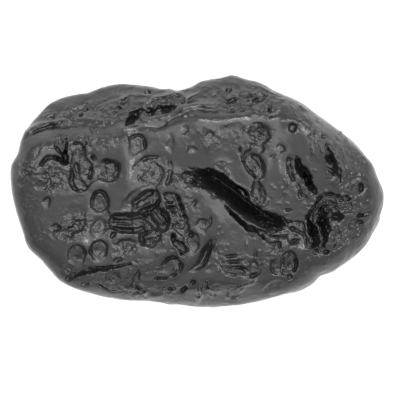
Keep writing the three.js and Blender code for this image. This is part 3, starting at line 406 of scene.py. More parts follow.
    (0.12, 0.14, [(6.1, -0.9), (6.6, -1.3), (7.0, -1.0)]),
    (0.14, -0.18, [(7.2, -0.3), (7.4, -0.9), (7.3, -1.5)]),
    (0.12, 0.14, [(7.7, -1.2), (8.2, -1.0), (8.6, -1.2)]),
    (0.20, 0.16, [(12.0, 6.2), (12.1, 5.4), (12.5, 4.7), (12.8, 3.6), (12.9, 2.6), (13.1, 2.1)]),
    (0.12, 0.16, [(11.2, 7.2), (11.7, 6.7), (11.95, 6.3)]),
    (0.10, 0.12, [(11.0, 3.9), (10.9, 3.3)]),
    (0.11, 0.20, [(13.7, 4.6), (14.1, 3.9), (14.35, 3.2), (14.6, 2.4), (14.75, 1.6), (14.6, 0.9)]),
    (0.09, 0.10, [(14.3, 4.7), (14.9, 4.4)]),
    (0.09, 0.10, [(14.5, 4.3), (15.0, 3.9)]),
    (0.09, 0.10, [(14.3, 3.7), (14.9, 3.2)]),
    (0.10, 0.20, [(13.5, 1.85), (13.9, 1.8), (14.25, 1.8)]),
    (0.09, 0.10, [(14.1, 0.35), (14.6, 0.9)]),
    (0.09, -0.12, [(14.3, 0.3), (14.8, 0.8)]),
    (0.12, -0.10, [(15.0, 3.05), (15.8, 3.1), (16.1, 3.5)]),
    (0.10, 0.10, [(16.5, 1.5), (16.6, 2.5)]),
    (0.10, 0.10, [(17.0, 1.5), (16.9, 2.4)]),
    # left of centre
    (0.12, -0.16, [(-9.8, -1.0), (-9.7, -1.5), (-10.0, -1.9), (-10.4, -1.7), (-10.5, -1.2)]),
    (0.09, 0.12, [(-10.5, -0.2), (-9.8, -0.3)]),
    (0.09, 0.12, [(-10.6, -0.5), (-9.7, -0.6)]),
    (0.11, -0.16, [(-7.2, -0.6), (-6.3, 0.1), (-5.3, 0.6), (-4.5, 0.6), (-4.1, 0.0)]),
    (0.12, -0.20, [(-6.0, -1.9), (-5.0, -1.6), (-4.5, -1.1)]),
    (0.11, -0.14, [(-7.8, -1.0), (-7.3, -0.4), (-6.5, 0.1)]),
    (0.10, 0.25, [(-8.7, -2.85), (-7.7, -2.9), (-6.7, -2.75)]),
    (0.10, -0.25, [(-8.5, -3.1), (-7.5, -3.2), (-6.6, -3.15)]),
    (0.10, 0.22, [(-8.6, -3.35), (-7.6, -3.5), (-6.5, -3.4)]),
    (0.11, -0.20, [(-5.9, -2.3), (-5.5, -2.9), (-5.7, -3.5)]),
    (0.11, 0.30, [(-5.5, -1.9), (-5.15, -2.3), (-5.2, -2.9)]),
    (0.14, 0.35, [(-4.6, -2.1), (-4.1, -2.7), (-3.6, -3.3)]),
    (0.08, -0.15, [(-4.45, -2.2), (-3.95, -2.75)]),
    (0.14, -0.22, [(-2.3, -2.3), (-2.5, -3.2), (-2.2, -4.0)]),
    (0.10, -0.16, [(-3.3, -0.4), (-2.9, -1.2), (-2.9, -2.0)]),
    (0.12, -0.24, [(-1.1, 2.6), (-0.7, 2.35), (-0.2, 2.55), (0.5, 2.2)]),
    (0.12, -0.16, [(-2.6, 1.7), (-2.2, 1.95), (-1.5, 1.8)]),
    (0.12, -0.16, [(-2.5, 1.0), (-1.9, 1.1), (-1.3, 0.95)]),
    (0.12, -0.18, [(-6.2, 1.8), (-5.9, 1.3), (-5.3, 0.9)]),
    # the trench: ribs at its left end, ledges along its lower side
    (0.12, 0.35, [(-0.7, 1.45), (0.0, 1.2), (0.45, 1.0)]),
    (0.10, 0.25, [(-0.6, 1.95), (0.1, 1.75), (0.8, 1.7)]),
    (0.10, 0.22, [(-0.5, 0.6), (0.1, 0.5), (0.7, 0.35)]),
    (0.10, -0.25, [(-0.7, 1.15), (0.0, 0.8), (0.5, 0.5)]),
    (0.10, -0.20, [(-0.75, 2.0), (-0.3, 1.7), (0.2, 1.5)]),
    (0.15, 0.50, [(1.25, 0.35), (1.5, 0.0), (1.85, -0.3)]),
    (0.10, 0.30, [(1.1, -0.15), (1.5, -0.45), (2.0, -0.6)]),
    (0.12, 0.40, [(2.5, -0.75), (2.75, -0.9)]),
    (0.10, 0.30, [(2.9, -1.3), (3.5, -1.75), (4.3, -2.25), (4.9, -2.7), (5.4, -3.05), (5.95, -3.25)]),
    (0.10, 0.25, [(3.35, 1.3), (4.0, 0.85), (4.8, 0.35), (5.2, -0.1), (5.35, -0.7)]),
    (0.10, -0.40, [(3.4, 0.95), (4.1, 0.55), (4.8, 0.0), (5.0, -0.5)]),
    (0.10, 0.25, [(3.9, 0.5), (4.4, 0.1), (4.8, -0.6)]),
    (0.11, 0.40, [(4.15, 0.1), (4.5, -0.3), (4.85, -0.75)]),
    (0.10, 0.22, [(2.0, 2.15), (2.7, 1.85), (3.1, 1.6)]),
    (0.12, 0.45, [(6.3, -2.8), (6.7, -2.75), (7.2, -2.9)]),
    (0.10, 0.40, [(6.5, -3.15), (7.0, -3.2)]),
    (0.13, 0.50, [(7.3, -3.35), (7.8, -3.5), (8.2, -3.65)]),
    (0.12, 0.20, [(8.4, -2.7), (8.8, -2.9)]),
    (0.11, 0.25, [(5.0, -3.95), (5.4, -4.25), (5.8, -4.5)]),
    (0.10, -0.20, [(4.6, -3.5), (5.2, -4.0), (5.9, -4.4)]),
    (0.22, 0.35, [(6.75, -4.3), (7.0, -4.6), (7.3, -5.0)]),
    # lower left
    (0.13, -0.18, [(-13.15, -5.7), (-12.6, -5.35), (-12.0, -5.6), (-11.4, -5.7)]),
    (0.12, -0.22, [(-11.55, -6.1), (-11.6, -6.6), (-11.85, -7.1)]),
    (0.12, -0.18, [(-11.2, -6.2), (-11.15, -6.8), (-11.35, -7.3)]),
    (0.10, -0.18, [(-13.0, -5.75), (-12.3, -5.65), (-11.8, -5.75)]),
    (0.12, -0.22, [(-12.7, -6.5), (-12.3, -6.55), (-11.95, -6.3)]),
    (0.14, -0.22, [(-9.4, -5.1), (-9.15, -5.6), (-8.8, -5.7)]),
    (0.10, -0.20, [(-10.3, -6.0), (-10.1, -5.95)]),
    (0.11, -0.20, [(-8.8, -5.6), (-8.2, -5.3), (-7.8, -5.0), (-7.3, -4.9)]),
    (0.11, -0.22, [(-7.9, -5.4), (-7.2, -5.3), (-6.8, -5.6)]),
    (0.13, -0.24, [(-6.7, -4.9), (-6.65, -5.4), (-6.35, -5.7), (-6.6, -6.0)]),
    (0.12, -0.20, [(-8.8, -6.0), (-8.3, -6.1), (-7.9, -5.9)]),
    (0.11, -0.18, [(-7.8, -6.1), (-7.7, -6.6)]),
    (0.10, 0.14, [(-13.6, -7.8), (-13.1, -8.2)]),
    (0.10, 0.14, [(-13.7, -8.15), (-13.2, -8.5)]),
    (0.09, 0.12, [(-9.5, -9.2), (-8.9, -9.7)]),
    (0.09, 0.12, [(-9.3, -9.05), (-8.7, -9.5)]),
    (0.12, -0.16, [(-6.9, -7.0), (-6.4, -7.1), (-6.0, -7.3)]),
    (0.16, -0.20, [(-6.5, -8.1), (-6.45, -8.9)]),
    (0.12, -0.16, [(-6.0, -8.1), (-6.2, -8.7), (-6.5, -9.1)]),
    (0.14, -0.16, [(-7.4, -9.3), (-7.4, -9.8)]),
    (0.16, -0.22, [(-6.7, -9.3), (-6.2, -9.7), (-5.8, -10.1)]),
    (0.14, -0.16, [(-7.0, -10.1), (-6.3, -10.2), (-5.9, -10.2)]),
    # bottom middle
    (0.13, -0.20, [(-5.3, -4.8), (-4.9, -5.0)]),
    (0.15, -0.24, [(-4.05, -4.2), (-4.0, -4.8)]),
    (0.11, -0.14, [(-0.9, -6.5), (-0.5, -6.2), (-0.1, -5.6), (-0.2, -5.0)]),
    (0.10, 0.16, [(-1.4, -5.2), (-1.0, -5.5), (-0.9, -5.9)]),
    (0.13, -0.20, [(-3.0, -5.8), (-2.5, -5.8)]),
    (0.12, -0.14, [(-3.9, -5.9), (-3.5, -5.7), (-3.15, -6.0), (-3.3, -6.4)]),
    (0.14, -0.26, [(-3.5, -7.2), (-3.1, -6.75), (-2.5, -6.75), (-2.0, -7.2), (-1.9, -7.7)]),
    (0.10, -0.22, [(-2.95, -7.8), (-2.75, -8.1), (-2.4, -8.15)]),
    (0.09, 0.20, [(-2.5, -7.7), (-2.3, -7.95), (-2.5, -8.25)]),
    (0.13, -0.14, [(-5.3, -8.5), (-4.8, -8.8), (-4.1, -8.8)]),
    (0.10, -0.12, [(-6.2, -6.7), (-5.3, -6.75), (-4.6, -6.9)]),
    (0.13, -0.22, [(-1.8, -10.15), (-1.4, -10.15)]),
    (0.13, -0.18, [(-0.7, -8.7), (-0.6, -9.0), (-0.2, -9.0)]),
    (0.12, -0.18, [(0.4, -9.5), (0.3, -9.9)]),
    (0.12, -0.16, [(1.3, -9.4), (2.0, -9.5)]),
    (0.12, -0.16, [(1.5, -10.4), (1.9, -10.4)]),
    (0.12, -0.20, [(0.1, -2.2), (0.6, -2.35)]),
    (0.10, 0.14, [(0.2, -2.55), (0.7, -2.55)]),
    (0.12, -0.20, [(0.2, -2.8), (0.7, -2.85)]),
    (0.13, -0.20, [(0.6, -4.0), (0.7, -4.3)]),
    (0.12, -0.15, [(1.7, -4.5), (2.2, -4.4)]),
    (0.13, -0.18, [(2.0, -5.2), (2.3, -4.8), (2.7, -4.6)]),
    # the shield
    (0.13, -0.16, [(2.0, -5.4), (1.95, -6.0), (2.1, -6.6), (2.4, -7.0), (2.6, -7.5)]),
    (0.11, -0.12, [(1.65, -5.8), (1.65, -6.5)]),
    (0.15, 0.12, [(2.8, -6.8), (3.5, -6.8), (4.2, -6.75)]),
    (0.12, -0.12, [(5.1, -6.0), (5.1, -6.4), (5.5, -6.6)]),
    (0.14, -0.18, [(6.1, -6.4), (6.3, -7.1), (6.6, -7.7)]),
    (0.12, -0.20, [(6.0, -8.2), (6.3, -8.1), (6.2, -7.7)]),
    (0.15, -0.18, [(3.4, -8.5), (3.9, -8.5), (4.0, -8.2)]),
    (0.11, -0.12, [(2.9, -7.0), (3.4, -7.1)]),
    (0.10, 0.26, [(3.9, -9.85), (4.4, -9.6), (5.0, -9.4), (5.8, -9.1)]),
    (0.16, -0.20, [(3.3, -10.9), (3.7, -10.6), (4.3, -10.4)]),
    # lower right
    (0.14, -0.26, [(7.6, -7.2), (7.5, -7.8), (7.8, -8.2), (8.3, -8.3)]),
    (0.14, -0.26, [(8.6, -6.9), (8.5, -7.5), (8.5, -8.0), (8.9, -8.35)]),
    (0.14, -0.26, [(9.7, -6.5), (9.9, -7.1), (9.75, -7.8)]),
    (0.12, -0.26, [(8.9, -7.4), (9.25, -7.3)]),
    (0.12, -0.22, [(9.0, -6.5), (9.05, -6.8)]),
    (0.12, -0.22, [(7.2, -5.2), (7.6, -5.15)]),
    (0.13, -0.24, [(8.1, -5.0), (8.35, -5.3), (8.1, -5.8)]),
    (0.12, -0.20, [(7.5, -6.1), (8.0, -6.05), (8.3, -6.1)]),
    (0.10, 0.14, [(7.25, -6.0), (7.3, -6.4)]),
    (0.12, -0.10, [(6.8, -10.3), (6.8, -9.9), (7.1, -9.5), (7.6, -9.2), (8.0, -9.05)]),
    (0.12, -0.10, [(6.9, -10.45), (7.6, -10.35), (8.4, -10.2)]),
    (0.11, -0.14, [(9.3, -4.4), (9.9, -4.45), (10.3, -4.5)]),
    (0.11, -0.14, [(9.5, -4.9), (10.1, -5.1), (10.5, -5.0)]),
    (0.11, -0.12, [(9.3, -3.5), (10.0, -3.6)]),
    (0.10, 0.12, [(10.0, -3.8), (10.4, -3.4)]),
    (0.10, -0.10, [(10.2, -6.8), (11.0, -6.7)]),
    # pit group at the right
    (0.17, 0.25, [(11.7, -3.1), (11.4, -2.6), (11.8, -1.9), (12.5, -1.2), (13.0, -0.9), (13.5, -0.75)]),
    (0.12, 0.30, [(12.2, -2.2), (12.5, -1.8)]),
    (0.10, 0.30, [(12.35, -3.0), (12.7, -2.6)]),
    (0.12, 0.50, [(12.15, -3.5), (12.4, -4.1), (12.5, -4.7), (12.5, -5.3)]),
    (0.15, 0.45, [(11.25, -4.4), (11.45, -4.9), (11.45, -5.3)]),
    (0.14, 0.20, [(14.2, -3.3), (14.5, -3.8), (14.7, -4.3), (14.5, -4.8)]),
    (0.11, -0.18, [(13.9, -3.9), (14.1, -4.5), (13.8, -5.0)]),
    (0.12, 0.16, [(14.9, -2.3), (14.6, -2.9), (14.4, -3.6)]),
    (0.11, 0.16, [(14.2, -1.9), (14.9, -1.85)]),
    (0.10, -0.16, [(14.0, -1.2), (14.4, -1.5), (14.9, -1.4)]),
    (0.10, -0.16, [(15.0, -1.0), (15.2, -1.5), (15.4, -1.8)]),
    (0.12, -0.20, [(16.0, -3.0), (16.5, -3.05), (16.7, -3.2), (16.5, -3.7)]),
    (0.10, -0.14, [(15.4, -3.1), (15.5, -3.6), (15.9, -4.0)]),
    (0.12, -0.22, [(17.3, -2.0), (17.45, -2.3), (16.9, -2.6), (16.6, -2.4)]),
    (0.10, 0.12, [(14.0, -5.2), (14.6, -5.1), (15.3, -5.1)]),
    (0.11, -0.14, [(14.8, -5.4), (15.3, -5.3)]),
    (0.10, 0.12, [(16.1, -2.8), (16.8, -2.95)]),
]

# Small lumps: x, y, half length, half width, turn, rise.
NUBS = [
    # bright grains
    (-13.75, 0.5, 0.14, 0.14, 0, 0.12), (-14.8, -0.4, 0.14, 0.14, 0, 0.12),
    (-8.05, 1.6, 0.14, 0.14, 0, 0.14), (-5.6, 1.35, 0.18, 0.15, 0, 0.16), (-4.2, 0.7, 0.13, 0.13, 0, 0.12),
    (-1.2, -0.3, 0.18, 0.12, -40, 0.18), (-0.85, -0.45, 0.12, 0.10, 0, 0.10),
    (-14.6, -4.0, 0.20, 0.13, 10, 0.16), (-11.8, -4.25, 0.15, 0.14, 0, 0.16),
    (-13.3, -4.55, 0.14, 0.13, 0, 0.14), (-8.8, -6.7, 0.12, 0.15, 0, 0.16),
    (-2.4, -7.9, 0.16, 0.14, -30, 0.18), (-4.4, -8.15, 0.15, 0.15, 0, 0.20),
    (-3.95, -8.25, 0.15, 0.13, 0, 0.18), (-4.25, -6.25, 0.15, 0.22, 20, 0.22),
    (-3.75, -4.45, 0.12, 0.15, 0, 0.16), (-1.75, -3.55, 0.22, 0.14, 0, 0.20),
    (-1.75, -2.7, 0.12, 0.12, 0, 0.12), (1.75, -5.35, 0.12, 0.18, 0, 0.14),
    (1.75, -6.8, 0.10, 0.16, 0, 0.12), (2.1, -8.0, 0.15, 0.12, 0, 0.12), (2.75, -8.55, 0.12, 0.12, 0, 0.12),
    (2.05, -3.6, 0.15, 0.14, 0, 0.16), (4.9, -5.35, 0.13, 0.22, 10, 0.18),
    (4.85, -5.0, 0.08, 0.12, 0, 0.10), (0.7, -9.25, 0.12, 0.12, 0, 0.12), (4.55, -9.85, 0.2, 0.13, 0, 0.16),
    (5.2, -7.35, 0.18, 0.13, 0, 0.14), (5.0, -7.8, 0.22, 0.12, 0, 0.12), (8.6, -5.45, 0.16, 0.14, 0, 0.16),
    (8.4, -4.55, 0.14, 0.14, 0, 0.18), (9.0, -1.1, 0.18, 0.12, -20, 0.16), (9.0, 0.85, 0.14, 0.10, 0, 0.14),
    (9.2, 1.7, 0.12, 0.14, 0, 0.12), (7.4, 0.75, 0.15, 0.12, 0, 0.12), (7.7, 0.45, 0.16, 0.12, 0, 0.14),
    (3.0, 2.0, 0.16, 0.20, 30, 0.20), (2.85, 2.25, 0.14, 0.12, 0, 0.14), (3.2, 1.4, 0.22, 0.12, 45, 0.18),
    (6.0, 1.75, 0.22, 0.16, 0, 0.20), (6.05, 6.7, 0.12, 0.12, 0, 0.16), (6.6, 5.7, 0.14, 0.14, 0, 0.20),
    (9.85, 7.0, 0.18, 0.14, 0, 0.14), (7.5, 6.55, 0.22, 0.10, 10, 0.10), (2.75, 6.9, 0.13, 0.13, 0, 0.12),
    (1.0, 5.75, 0.13, 0.15, 0, 0.12), (-1.2, 4.35, 0.14, 0.14, 0, 0.12), (8.5, 4.15, 0.13, 0.12, 0, 0.12),
    (11.85, 2.25, 0.16, 0.14, 40, 0.14), (11.4, 2.3, 0.12, 0.12, 0, 0.10), (14.7, 2.4, 0.15, 0.13, 0, 0.12),
    (13.05, 0.1, 0.18, 0.16, 0, 0.20), (14.75, -0.25, 0.26, 0.12, 5, 0.20),
    (15.85, -1.35, 0.12, 0.14, 0, 0.14), (15.8, -3.5, 0.20, 0.18, 0, 0.22),
    (14.45, -3.8, 0.16, 0.16, 0, 0.14), (15.25, -5.05, 0.18, 0.15, 0, 0.14),
    (11.9, -5.7, 0.16, 0.16, 0, 0.30), (11.2, -5.8, 0.16, 0.12, 0, 0.24), (11.3, -6.8, 0.16, 0.14, 0, 0.14),
    (17.45, -0.95, 0.25, 0.16, -30, 0.14), (10.9, -8.1, 0.14, 0.12, 0, 0.12),
    (12.95, -7.4, 0.16, 0.12, 0, 0.12), (-18.1, 2.0, 0.2, 0.2, 0, 0.12), (-16.9, 1.6, 0.2, 0.2, 0, 0.12),
    (-12.9, -8.35, 0.15, 0.12, 0, 0.14), (-13.9, -7.75, 0.16, 0.12, 0, 0.10),
    (-6.7, -7.35, 0.18, 0.14, 0, 0.14), (-6.75, -9.8, 0.18, 0.14, 0, 0.16),
    (-6.7, -5.4, 0.14, 0.16, 0, 0.14), (-8.7, -5.65, 0.16, 0.12, 0, 0.10),
    (-2.6, -9.95, 0.12, 0.16, 0, 0.16),
    # grains on the upper flank
    (-12.4, 8.6, 0.12, 0.12, 0, 0.12), (-11.8, 8.9, 0.12, 0.12, 0, 0.12), (-10.5, 8.2, 0.12, 0.12, 0, 0.12),
    (-8.7, 7.43, 0.25, 0.10, 0, 0.12), (-10.4, 6.4, 0.12, 0.12, 0, 0.10),
    (-7.35, 7.45, 0.12, 0.12, 0, 0.12), (-5.3, 6.5, 0.12, 0.12, 0, 0.12), (-3.9, 7.55, 0.14, 0.12, 0, 0.12),
    (-0.85, 7.6, 0.14, 0.12, 0, 0.12), (1.85, 9.9, 0.12, 0.12, 0, 0.12), (2.3, 10.35, 0.12, 0.12, 0, 0.12),
    (2.6, 10.15, 0.12, 0.12, 0, 0.12),
    # rounder lumps
    (-5.7, 7.75, 0.42, 0.36, 0, 0.55), (5.45, 9.55, 0.32, 0.15, 0, 0.14), (7.0, 9.35, 0.34, 0.25, 0, 0.16),
    (2.25, 3.25, 0.35, 0.14, 5, 0.16), (2.5, 2.85, 0.30, 0.12, 0, 0.14), (3.0, 3.05, 0.25, 0.12, 0, 0.12),
    (2.4, 2.6, 0.28, 0.12, 0, 0.10), (1.6, 2.6, 0.18, 0.22, 0, 0.10), (1.5, -2.0, 0.35, 0.50, 40, 0.20),
    (2.2, -3.0, 0.45, 0.70, 0, 0.14), (0.35, -3.45, 0.28, 0.30, 0, 0.16), (-1.6, 1.45, 0.25, 0.22, 0, 0.10),
    (-1.6, 0.75, 0.25, 0.22, 0, 0.10), (-3.3, -0.8, 0.25, 0.18, 0, 0.14), (-2.7, -1.8, 0.25, 0.18, 0, 0.14),
    (-2.5, -2.5, 0.25, 0.20, 0, 0.14), (-5.0, -4.5, 0.55, 0.25, 5, 0.22),
    (-12.4, -6.95, 0.35, 0.30, 0, 0.16), (-11.6, -7.3, 0.22, 0.20, 0, 0.12),
    (-10.1, -6.35, 0.35, 0.30, 0, 0.14), (-8.1, -6.9, 0.18, 0.12, 0, 0.14),
    (-13.5, -4.3, 0.32, 0.25, 0, 0.14), (-5.3, -10.2, 0.35, 0.18, 10, 0.18),
    (-4.1, -10.45, 0.25, 0.20, 0, 0.12), (1.15, -9.8, 0.30, 0.20, 20, 0.20),
    (1.5, -10.05, 0.35, 0.12, -30, 0.16), (0.95, -7.5, 0.35, 0.22, 35, 0.14),
    (9.1, -7.85, 0.35, 0.25, 0, 0.18), (8.1, -7.3, 0.28, 0.3, 0, 0.14), (7.7, -5.55, 0.22, 0.20, 0, 0.20),
    (7.9, -6.6, 0.30, 0.40, 30, 0.12), (8.9, -2.15, 0.30, 0.14, 20, 0.14),
    (14.8, -6.0, 0.45, 0.40, 0, 0.14), (16.1, 0.6, 0.25, 0.25, 0, 0.16), (13.8, 1.1, 0.35, 0.50, 0, 0.16),
    (11.1, -0.1, 0.20, 0.25, 0, 0.18), (5.2, 4.55, 0.22, 0.22, 0, 0.10), (6.0, 4.55, 0.25, 0.20, 0, 0.12),
    (6.2, 5.75, 0.22, 0.30, 40, 0.14), (3.7, -10.35, 0.35, 0.14, 35, 0.16), (3.0, -10.7, 0.2, 0.2, 0, 0.12),
    (13.7, -5.2, 0.3, 0.25, 0, 0.14),
]

# Rough patches: centre, half lengths, turn, height, grain along and across.
ROUGH = [
    (-14.7, 1.6, 1.8, 1.4, 10, 0.13, 0.35, 0.3), (-17.3, 1.8, 1.0, 1.6, 0, 0.03, 0.6, 0.25),
    (-11.9, 2.2, 1.0, 2.2, 0, 0.08, 0.6, 0.3), (-12.8, -3.2, 2.0, 1.5, 15, 0.11, 0.5, 0.35),
    (-14.0, 4.6, 1.0, 1.4, 0, 0.06, 0.5, 0.3), (-9.2, 2.2, 1.2, 1.2, 0, 0.08, 0.4, 0.3),
    (-10.6, 5.2, 2.6, 1.1, 5, 0.09, 0.45, 0.35), (-16.2, -2.0, 1.6, 2.2, 0, 0.03, 0.7, 0.5),
    (-4.6, 2.2, 2.0, 1.6, 0, 0.06, 0.5, 0.35), (6.4, -0.8, 1.2, 1.2, 0, 0.07, 0.6, 0.3),
    (3.4, 5.6, 1.8, 1.8, 0, 0.035, 0.5, 0.4), (9.2, 0.8, 1.0, 1.2, 0, 0.05, 0.5, 0.35),
    (-9.5, -8.6, 2.0, 1.2, 0, 0.07, 0.5, 0.35), (11.9, -5.9, 1.0, 0.8, 0, 0.10, 0.5, 0.3),
    (11.9, 4.8, 0.9, 1.8, 0, 0.07, 0.35, 0.6), (-17.2, -0.6, 0.9, 1.3, 0, 0.06, 0.5, 0.35),
    (-15.4, -4.4, 1.3, 1.0, 0, 0.06, 0.45, 0.35), (16.2, 3.2, 1.4, 1.6, 0, 0.05, 0.5, 0.4),
    (1.2, 5.6, 2.2, 1.4, 0, 0.04, 0.5, 0.35), (-0.8, -2.0, 1.0, 1.4, 0, 0.05, 0.5, 0.35),
    (2.0, -5.2, 1.2, 1.6, 0, 0.05, 0.5, 0.35), (6.6, -6.6, 1.4, 1.2, 0, 0.06, 0.5, 0.35),
    (14.6, 4.9, 1.4, 1.6, 0, 0.04, 0.6, 0.4), (-7.2, -2.9, 2.2, 1.4, 0, 0.08, 0.9, 0.28),
    (-4.1, -2.7, 1.6, 1.5, -50, 0.09, 0.8, 0.28), (-2.2, -2.2, 1.3, 2.0, -20, 0.08, 0.6, 0.3),
    (-4.6, -4.6, 1.4, 1.0, 0, 0.09, 0.6, 0.3), (-1.4, -4.9, 1.3, 1.4, -40, 0.08, 0.6, 0.3),
    (-7.5, -5.7, 1.6, 1.2, 0, 0.08, 0.5, 0.3), (-5.5, -7.5, 2.0, 0.9, 0, 0.06, 0.8, 0.3),
    (-6.8, -9.6, 1.8, 1.0, -30, 0.11, 0.5, 0.3), (-3.0, -10.0, 2.0, 0.8, 0, 0.05, 0.6, 0.3),
    (1.2, -10.1, 1.0, 0.7, 0, 0.05, 0.6, 0.3), (3.6, -10.3, 1.2, 0.7, 20, 0.07, 0.5, 0.3),
    (4.2, -7.4, 2.2, 1.4, 0, 0.07, 0.9, 0.3), (0.0, 1.4, 1.0, 1.2, -30, 0.12, 0.9, 0.28),
    (-1.8, 1.2, 1.0, 1.0, 0, 0.06, 0.5, 0.3), (7.0, -3.4, 1.6, 1.2, -20, 0.12, 0.9, 0.3),
    (5.6, -4.2, 1.2, 0.6, -35, 0.06, 0.9, 0.25), (9.8, -4.1, 1.1, 1.4, 0, 0.08, 0.5, 0.3),
    (8.1, -5.8, 1.1, 1.2, 0, 0.07, 0.5, 0.3), (8.9, -7.5, 1.2, 1.0, 0, 0.08, 0.5, 0.3),
    (12.4, -3.0, 1.6, 2.8, 0, 0.12, 0.6, 0.28), (14.6, -1.6, 1.8, 1.2, 0, 0.15, 0.5, 0.3),
    (14.3, -4.4, 1.2, 1.6, 0, 0.14, 0.6, 0.3), (16.6, -2.6, 1.2, 1.4, 0, 0.11, 0.5, 0.3),
    (15.8, 0.9, 1.2, 1.2, 0, 0.09, 0.5, 0.3), (10.9, 0.2, 0.9, 1.6, 0, 0.10, 0.5, 0.3),
    (9.9, 2.2, 0.8, 1.6, 0, 0.06, 0.6, 0.3), (13.8, 2.6, 1.0, 2.0, 0, 0.07, 0.6, 0.3),
    (6.2, 5.6, 1.2, 1.4, 0, 0.07, 0.5, 0.3), (6.3, -0.6, 0.9, 1.1, 0, 0.05, 0.5, 0.3),
    (2.4, 2.8, 0.9, 0.8, 0, 0.05, 0.5, 0.3), (-13.0, 8.7, 3.2, 1.3, 15, 0.11, 0.6, 0.45),
    (-8.7, 8.6, 2.6, 1.5, 15, 0.11, 0.7, 0.40), (-5.5, 8.2, 2.4, 1.0, 15, 0.08, 0.9, 0.3),
    (-3.0, 9.6, 2.6, 0.9, 15, 0.09, 0.8, 0.35), (3.5, 9.6, 3.2, 1.4, 0, 0.11, 0.6, 0.40),
    (7.2, 9.0, 1.8, 1.4, 0, 0.10, 0.6, 0.35), (10.8, 7.8, 2.4, 1.1, -40, 0.09, 0.6, 0.40),
]

# How each kind is carved: share of the ball's depth that lies above the surface, rounding of the rim as a
# share of the width, and how far the hollow's axis leans away from the bright side.
TOP_HOLLOWS = [
    (DISHES, 0.72, 0.12, 0.0),
    (SLOTS, 0.12, 0.16, 0.0),
    (PITS, 0.25, 0.26, 0.0),
    (BOWLS, 0.50, 0.20, 0.35),
]
GROOVE_POWER = 1.35     # under 2, so that a groove has a narrow bottom
WIDEST_RIM = 0.5
LEAN_WAY = np.array([0.7, 0.7, 0.0])

# Hollows scattered over the sides and the underside: how many, sine of the highest, longest, key, rim.
SIDE_HOLLOWS = [
    (28, -0.06, 2.8, 1, 0.2),
    (90, 0.20, 1.4, 11, 0.3),
]
SIDE_OPEN = 0.25        # share of the ball's depth that lies above the surface
LOWEST_SINE = -0.90
SIDE_REACH = (19.0, 11.7, 8.0)      # half lengths of the ball they are spread over
HEART = np.array([0.0, 0.0, 6.0])   # its middle

# Unevenness of the whole surface: size of the lumps, shift of the noise, height everywhere, extra height
# inside the hollows, extra height on the sides.
UNEVENNESS = [
    (1.7, 0.0, 0.034, 0.00, 0.066),
    (0.8, 31.7, 0.027, 0.04, 0.023),
    (0.38, 57.1, 0.017, 0.02, 0.010),
]
MARK_SHARE = 0.7        # how much of a listed mark's rise is drawn
HALO = 0.10             # dip around a hollow, as a share of its width
RING_HEIGHT = 0.055     # ribs inside a hollow
ROUGH_GAIN = 1.8
GRAINS = 7              # in each rough patch
GRAIN_RISE = 0.9        # of a grain's radius
FLAT_EDGE = 0.3         # rounding of the edge of the flat the stone rests on
MOST_TRIANGLES = 190000
HALVINGS = 34           # when looking for where a ray meets the body

# ---------------------------------------------------------------- shape functions

_knots = sorted((math.atan2(y, x), math.hypot(x, y)) for x, y in OUTLINE)
_count = len(_knots)
KNOT_ANGLE = np.array([_knots[i % _count][0] + 2 * math.pi * (i // _count) for i in range(-3, _count + 3)])
KNOT_RADIUS = np.array([_knots[i % _count][1] for i in range(-3, _count + 3)])


def outline_radius(angle):
    """The outline's radius at an angle: a Catmull-Rom curve through the listed points."""
    i = np.clip(np.searchsorted(KNOT_ANGLE, angle, side="right"), 2, len(KNOT_ANGLE) - 2)
    a0, a1, a2, a3 = (KNOT_ANGLE[i + k] for k in (-2, -1, 0, 1))
    r0, r1, r2, r3 = (KNOT_RADIUS[i + k] for k in (-2, -1, 0, 1))
    span = a2 - a1
    t = (angle - a1) / span
    m1, m2, h = (r2 - r0) / (a2 - a0) * span, (r3 - r1) / (a3 - a1) * span, r2 - r1
    return RIM_EASE + r1 + m1 * t + (3 * h - 2 * m1 - m2) * t**2 + (m1 + m2 - 2 * h) * t**3


def smoothstep(x, low, high):
    t = np.clip((x - low) / (high - low), 0, 1)
    return t * t * (3 - 2 * t)


def rounded_max(a, b, edge):
    """The larger of two distances, with the corner between them rounded over edge."""
    h = np.maximum(edge - np.abs(a - b), 0) / edge
    return np.maximum(a, b) + h * h * edge / 4


def line_distance(x, y, line):
    """Distance from places seen from above to a line of points."""
    best = np.full(np.broadcast(x, y).shape, np.inf)
    for (ax, ay), (bx, by) in zip(line, line[1:]):
        dx, dy = bx - ax, by - ay
        t = np.clip(((x - ax) * dx + (y - ay) * dy) / (dx * dx + dy * dy), 0, 1)
        best = np.minimum(best, np.hypot(x - ax - t * dx, y - ay - t * dy))
    return best


def bank(x, y):
    """The low ground beside the trench: it climbs slowly on the right of the line and fast on the left."""
    line, reach, drop = BANK
    best = np.full(np.broadcast(x, y).shape, np.inf)
    share = np.zeros(best.shape)
    for (ax, ay), (bx, by) in zip(line, line[1:]):
        dx, dy = bx - ax, by - ay
        t = np.clip(((x - ax) * dx + (y - ay) * dy) / (dx * dx + dy * dy), 0, 1)
        rx, ry = x - ax - t * dx, y - ay - t * dy
        away = np.hypot(rx, ry)
        left = (dx * ry - dy * rx) / math.hypot(dx, dy) / np.maximum(away, 0.01)
        share = np.where(away < best, smoothstep(left, -0.6, 0.6), share)
        best = np.minimum(best, away)
    return -drop * (share * np.exp(-best / reach) + (1 - share) * np.exp(-((best / 0.6) ** 2)))


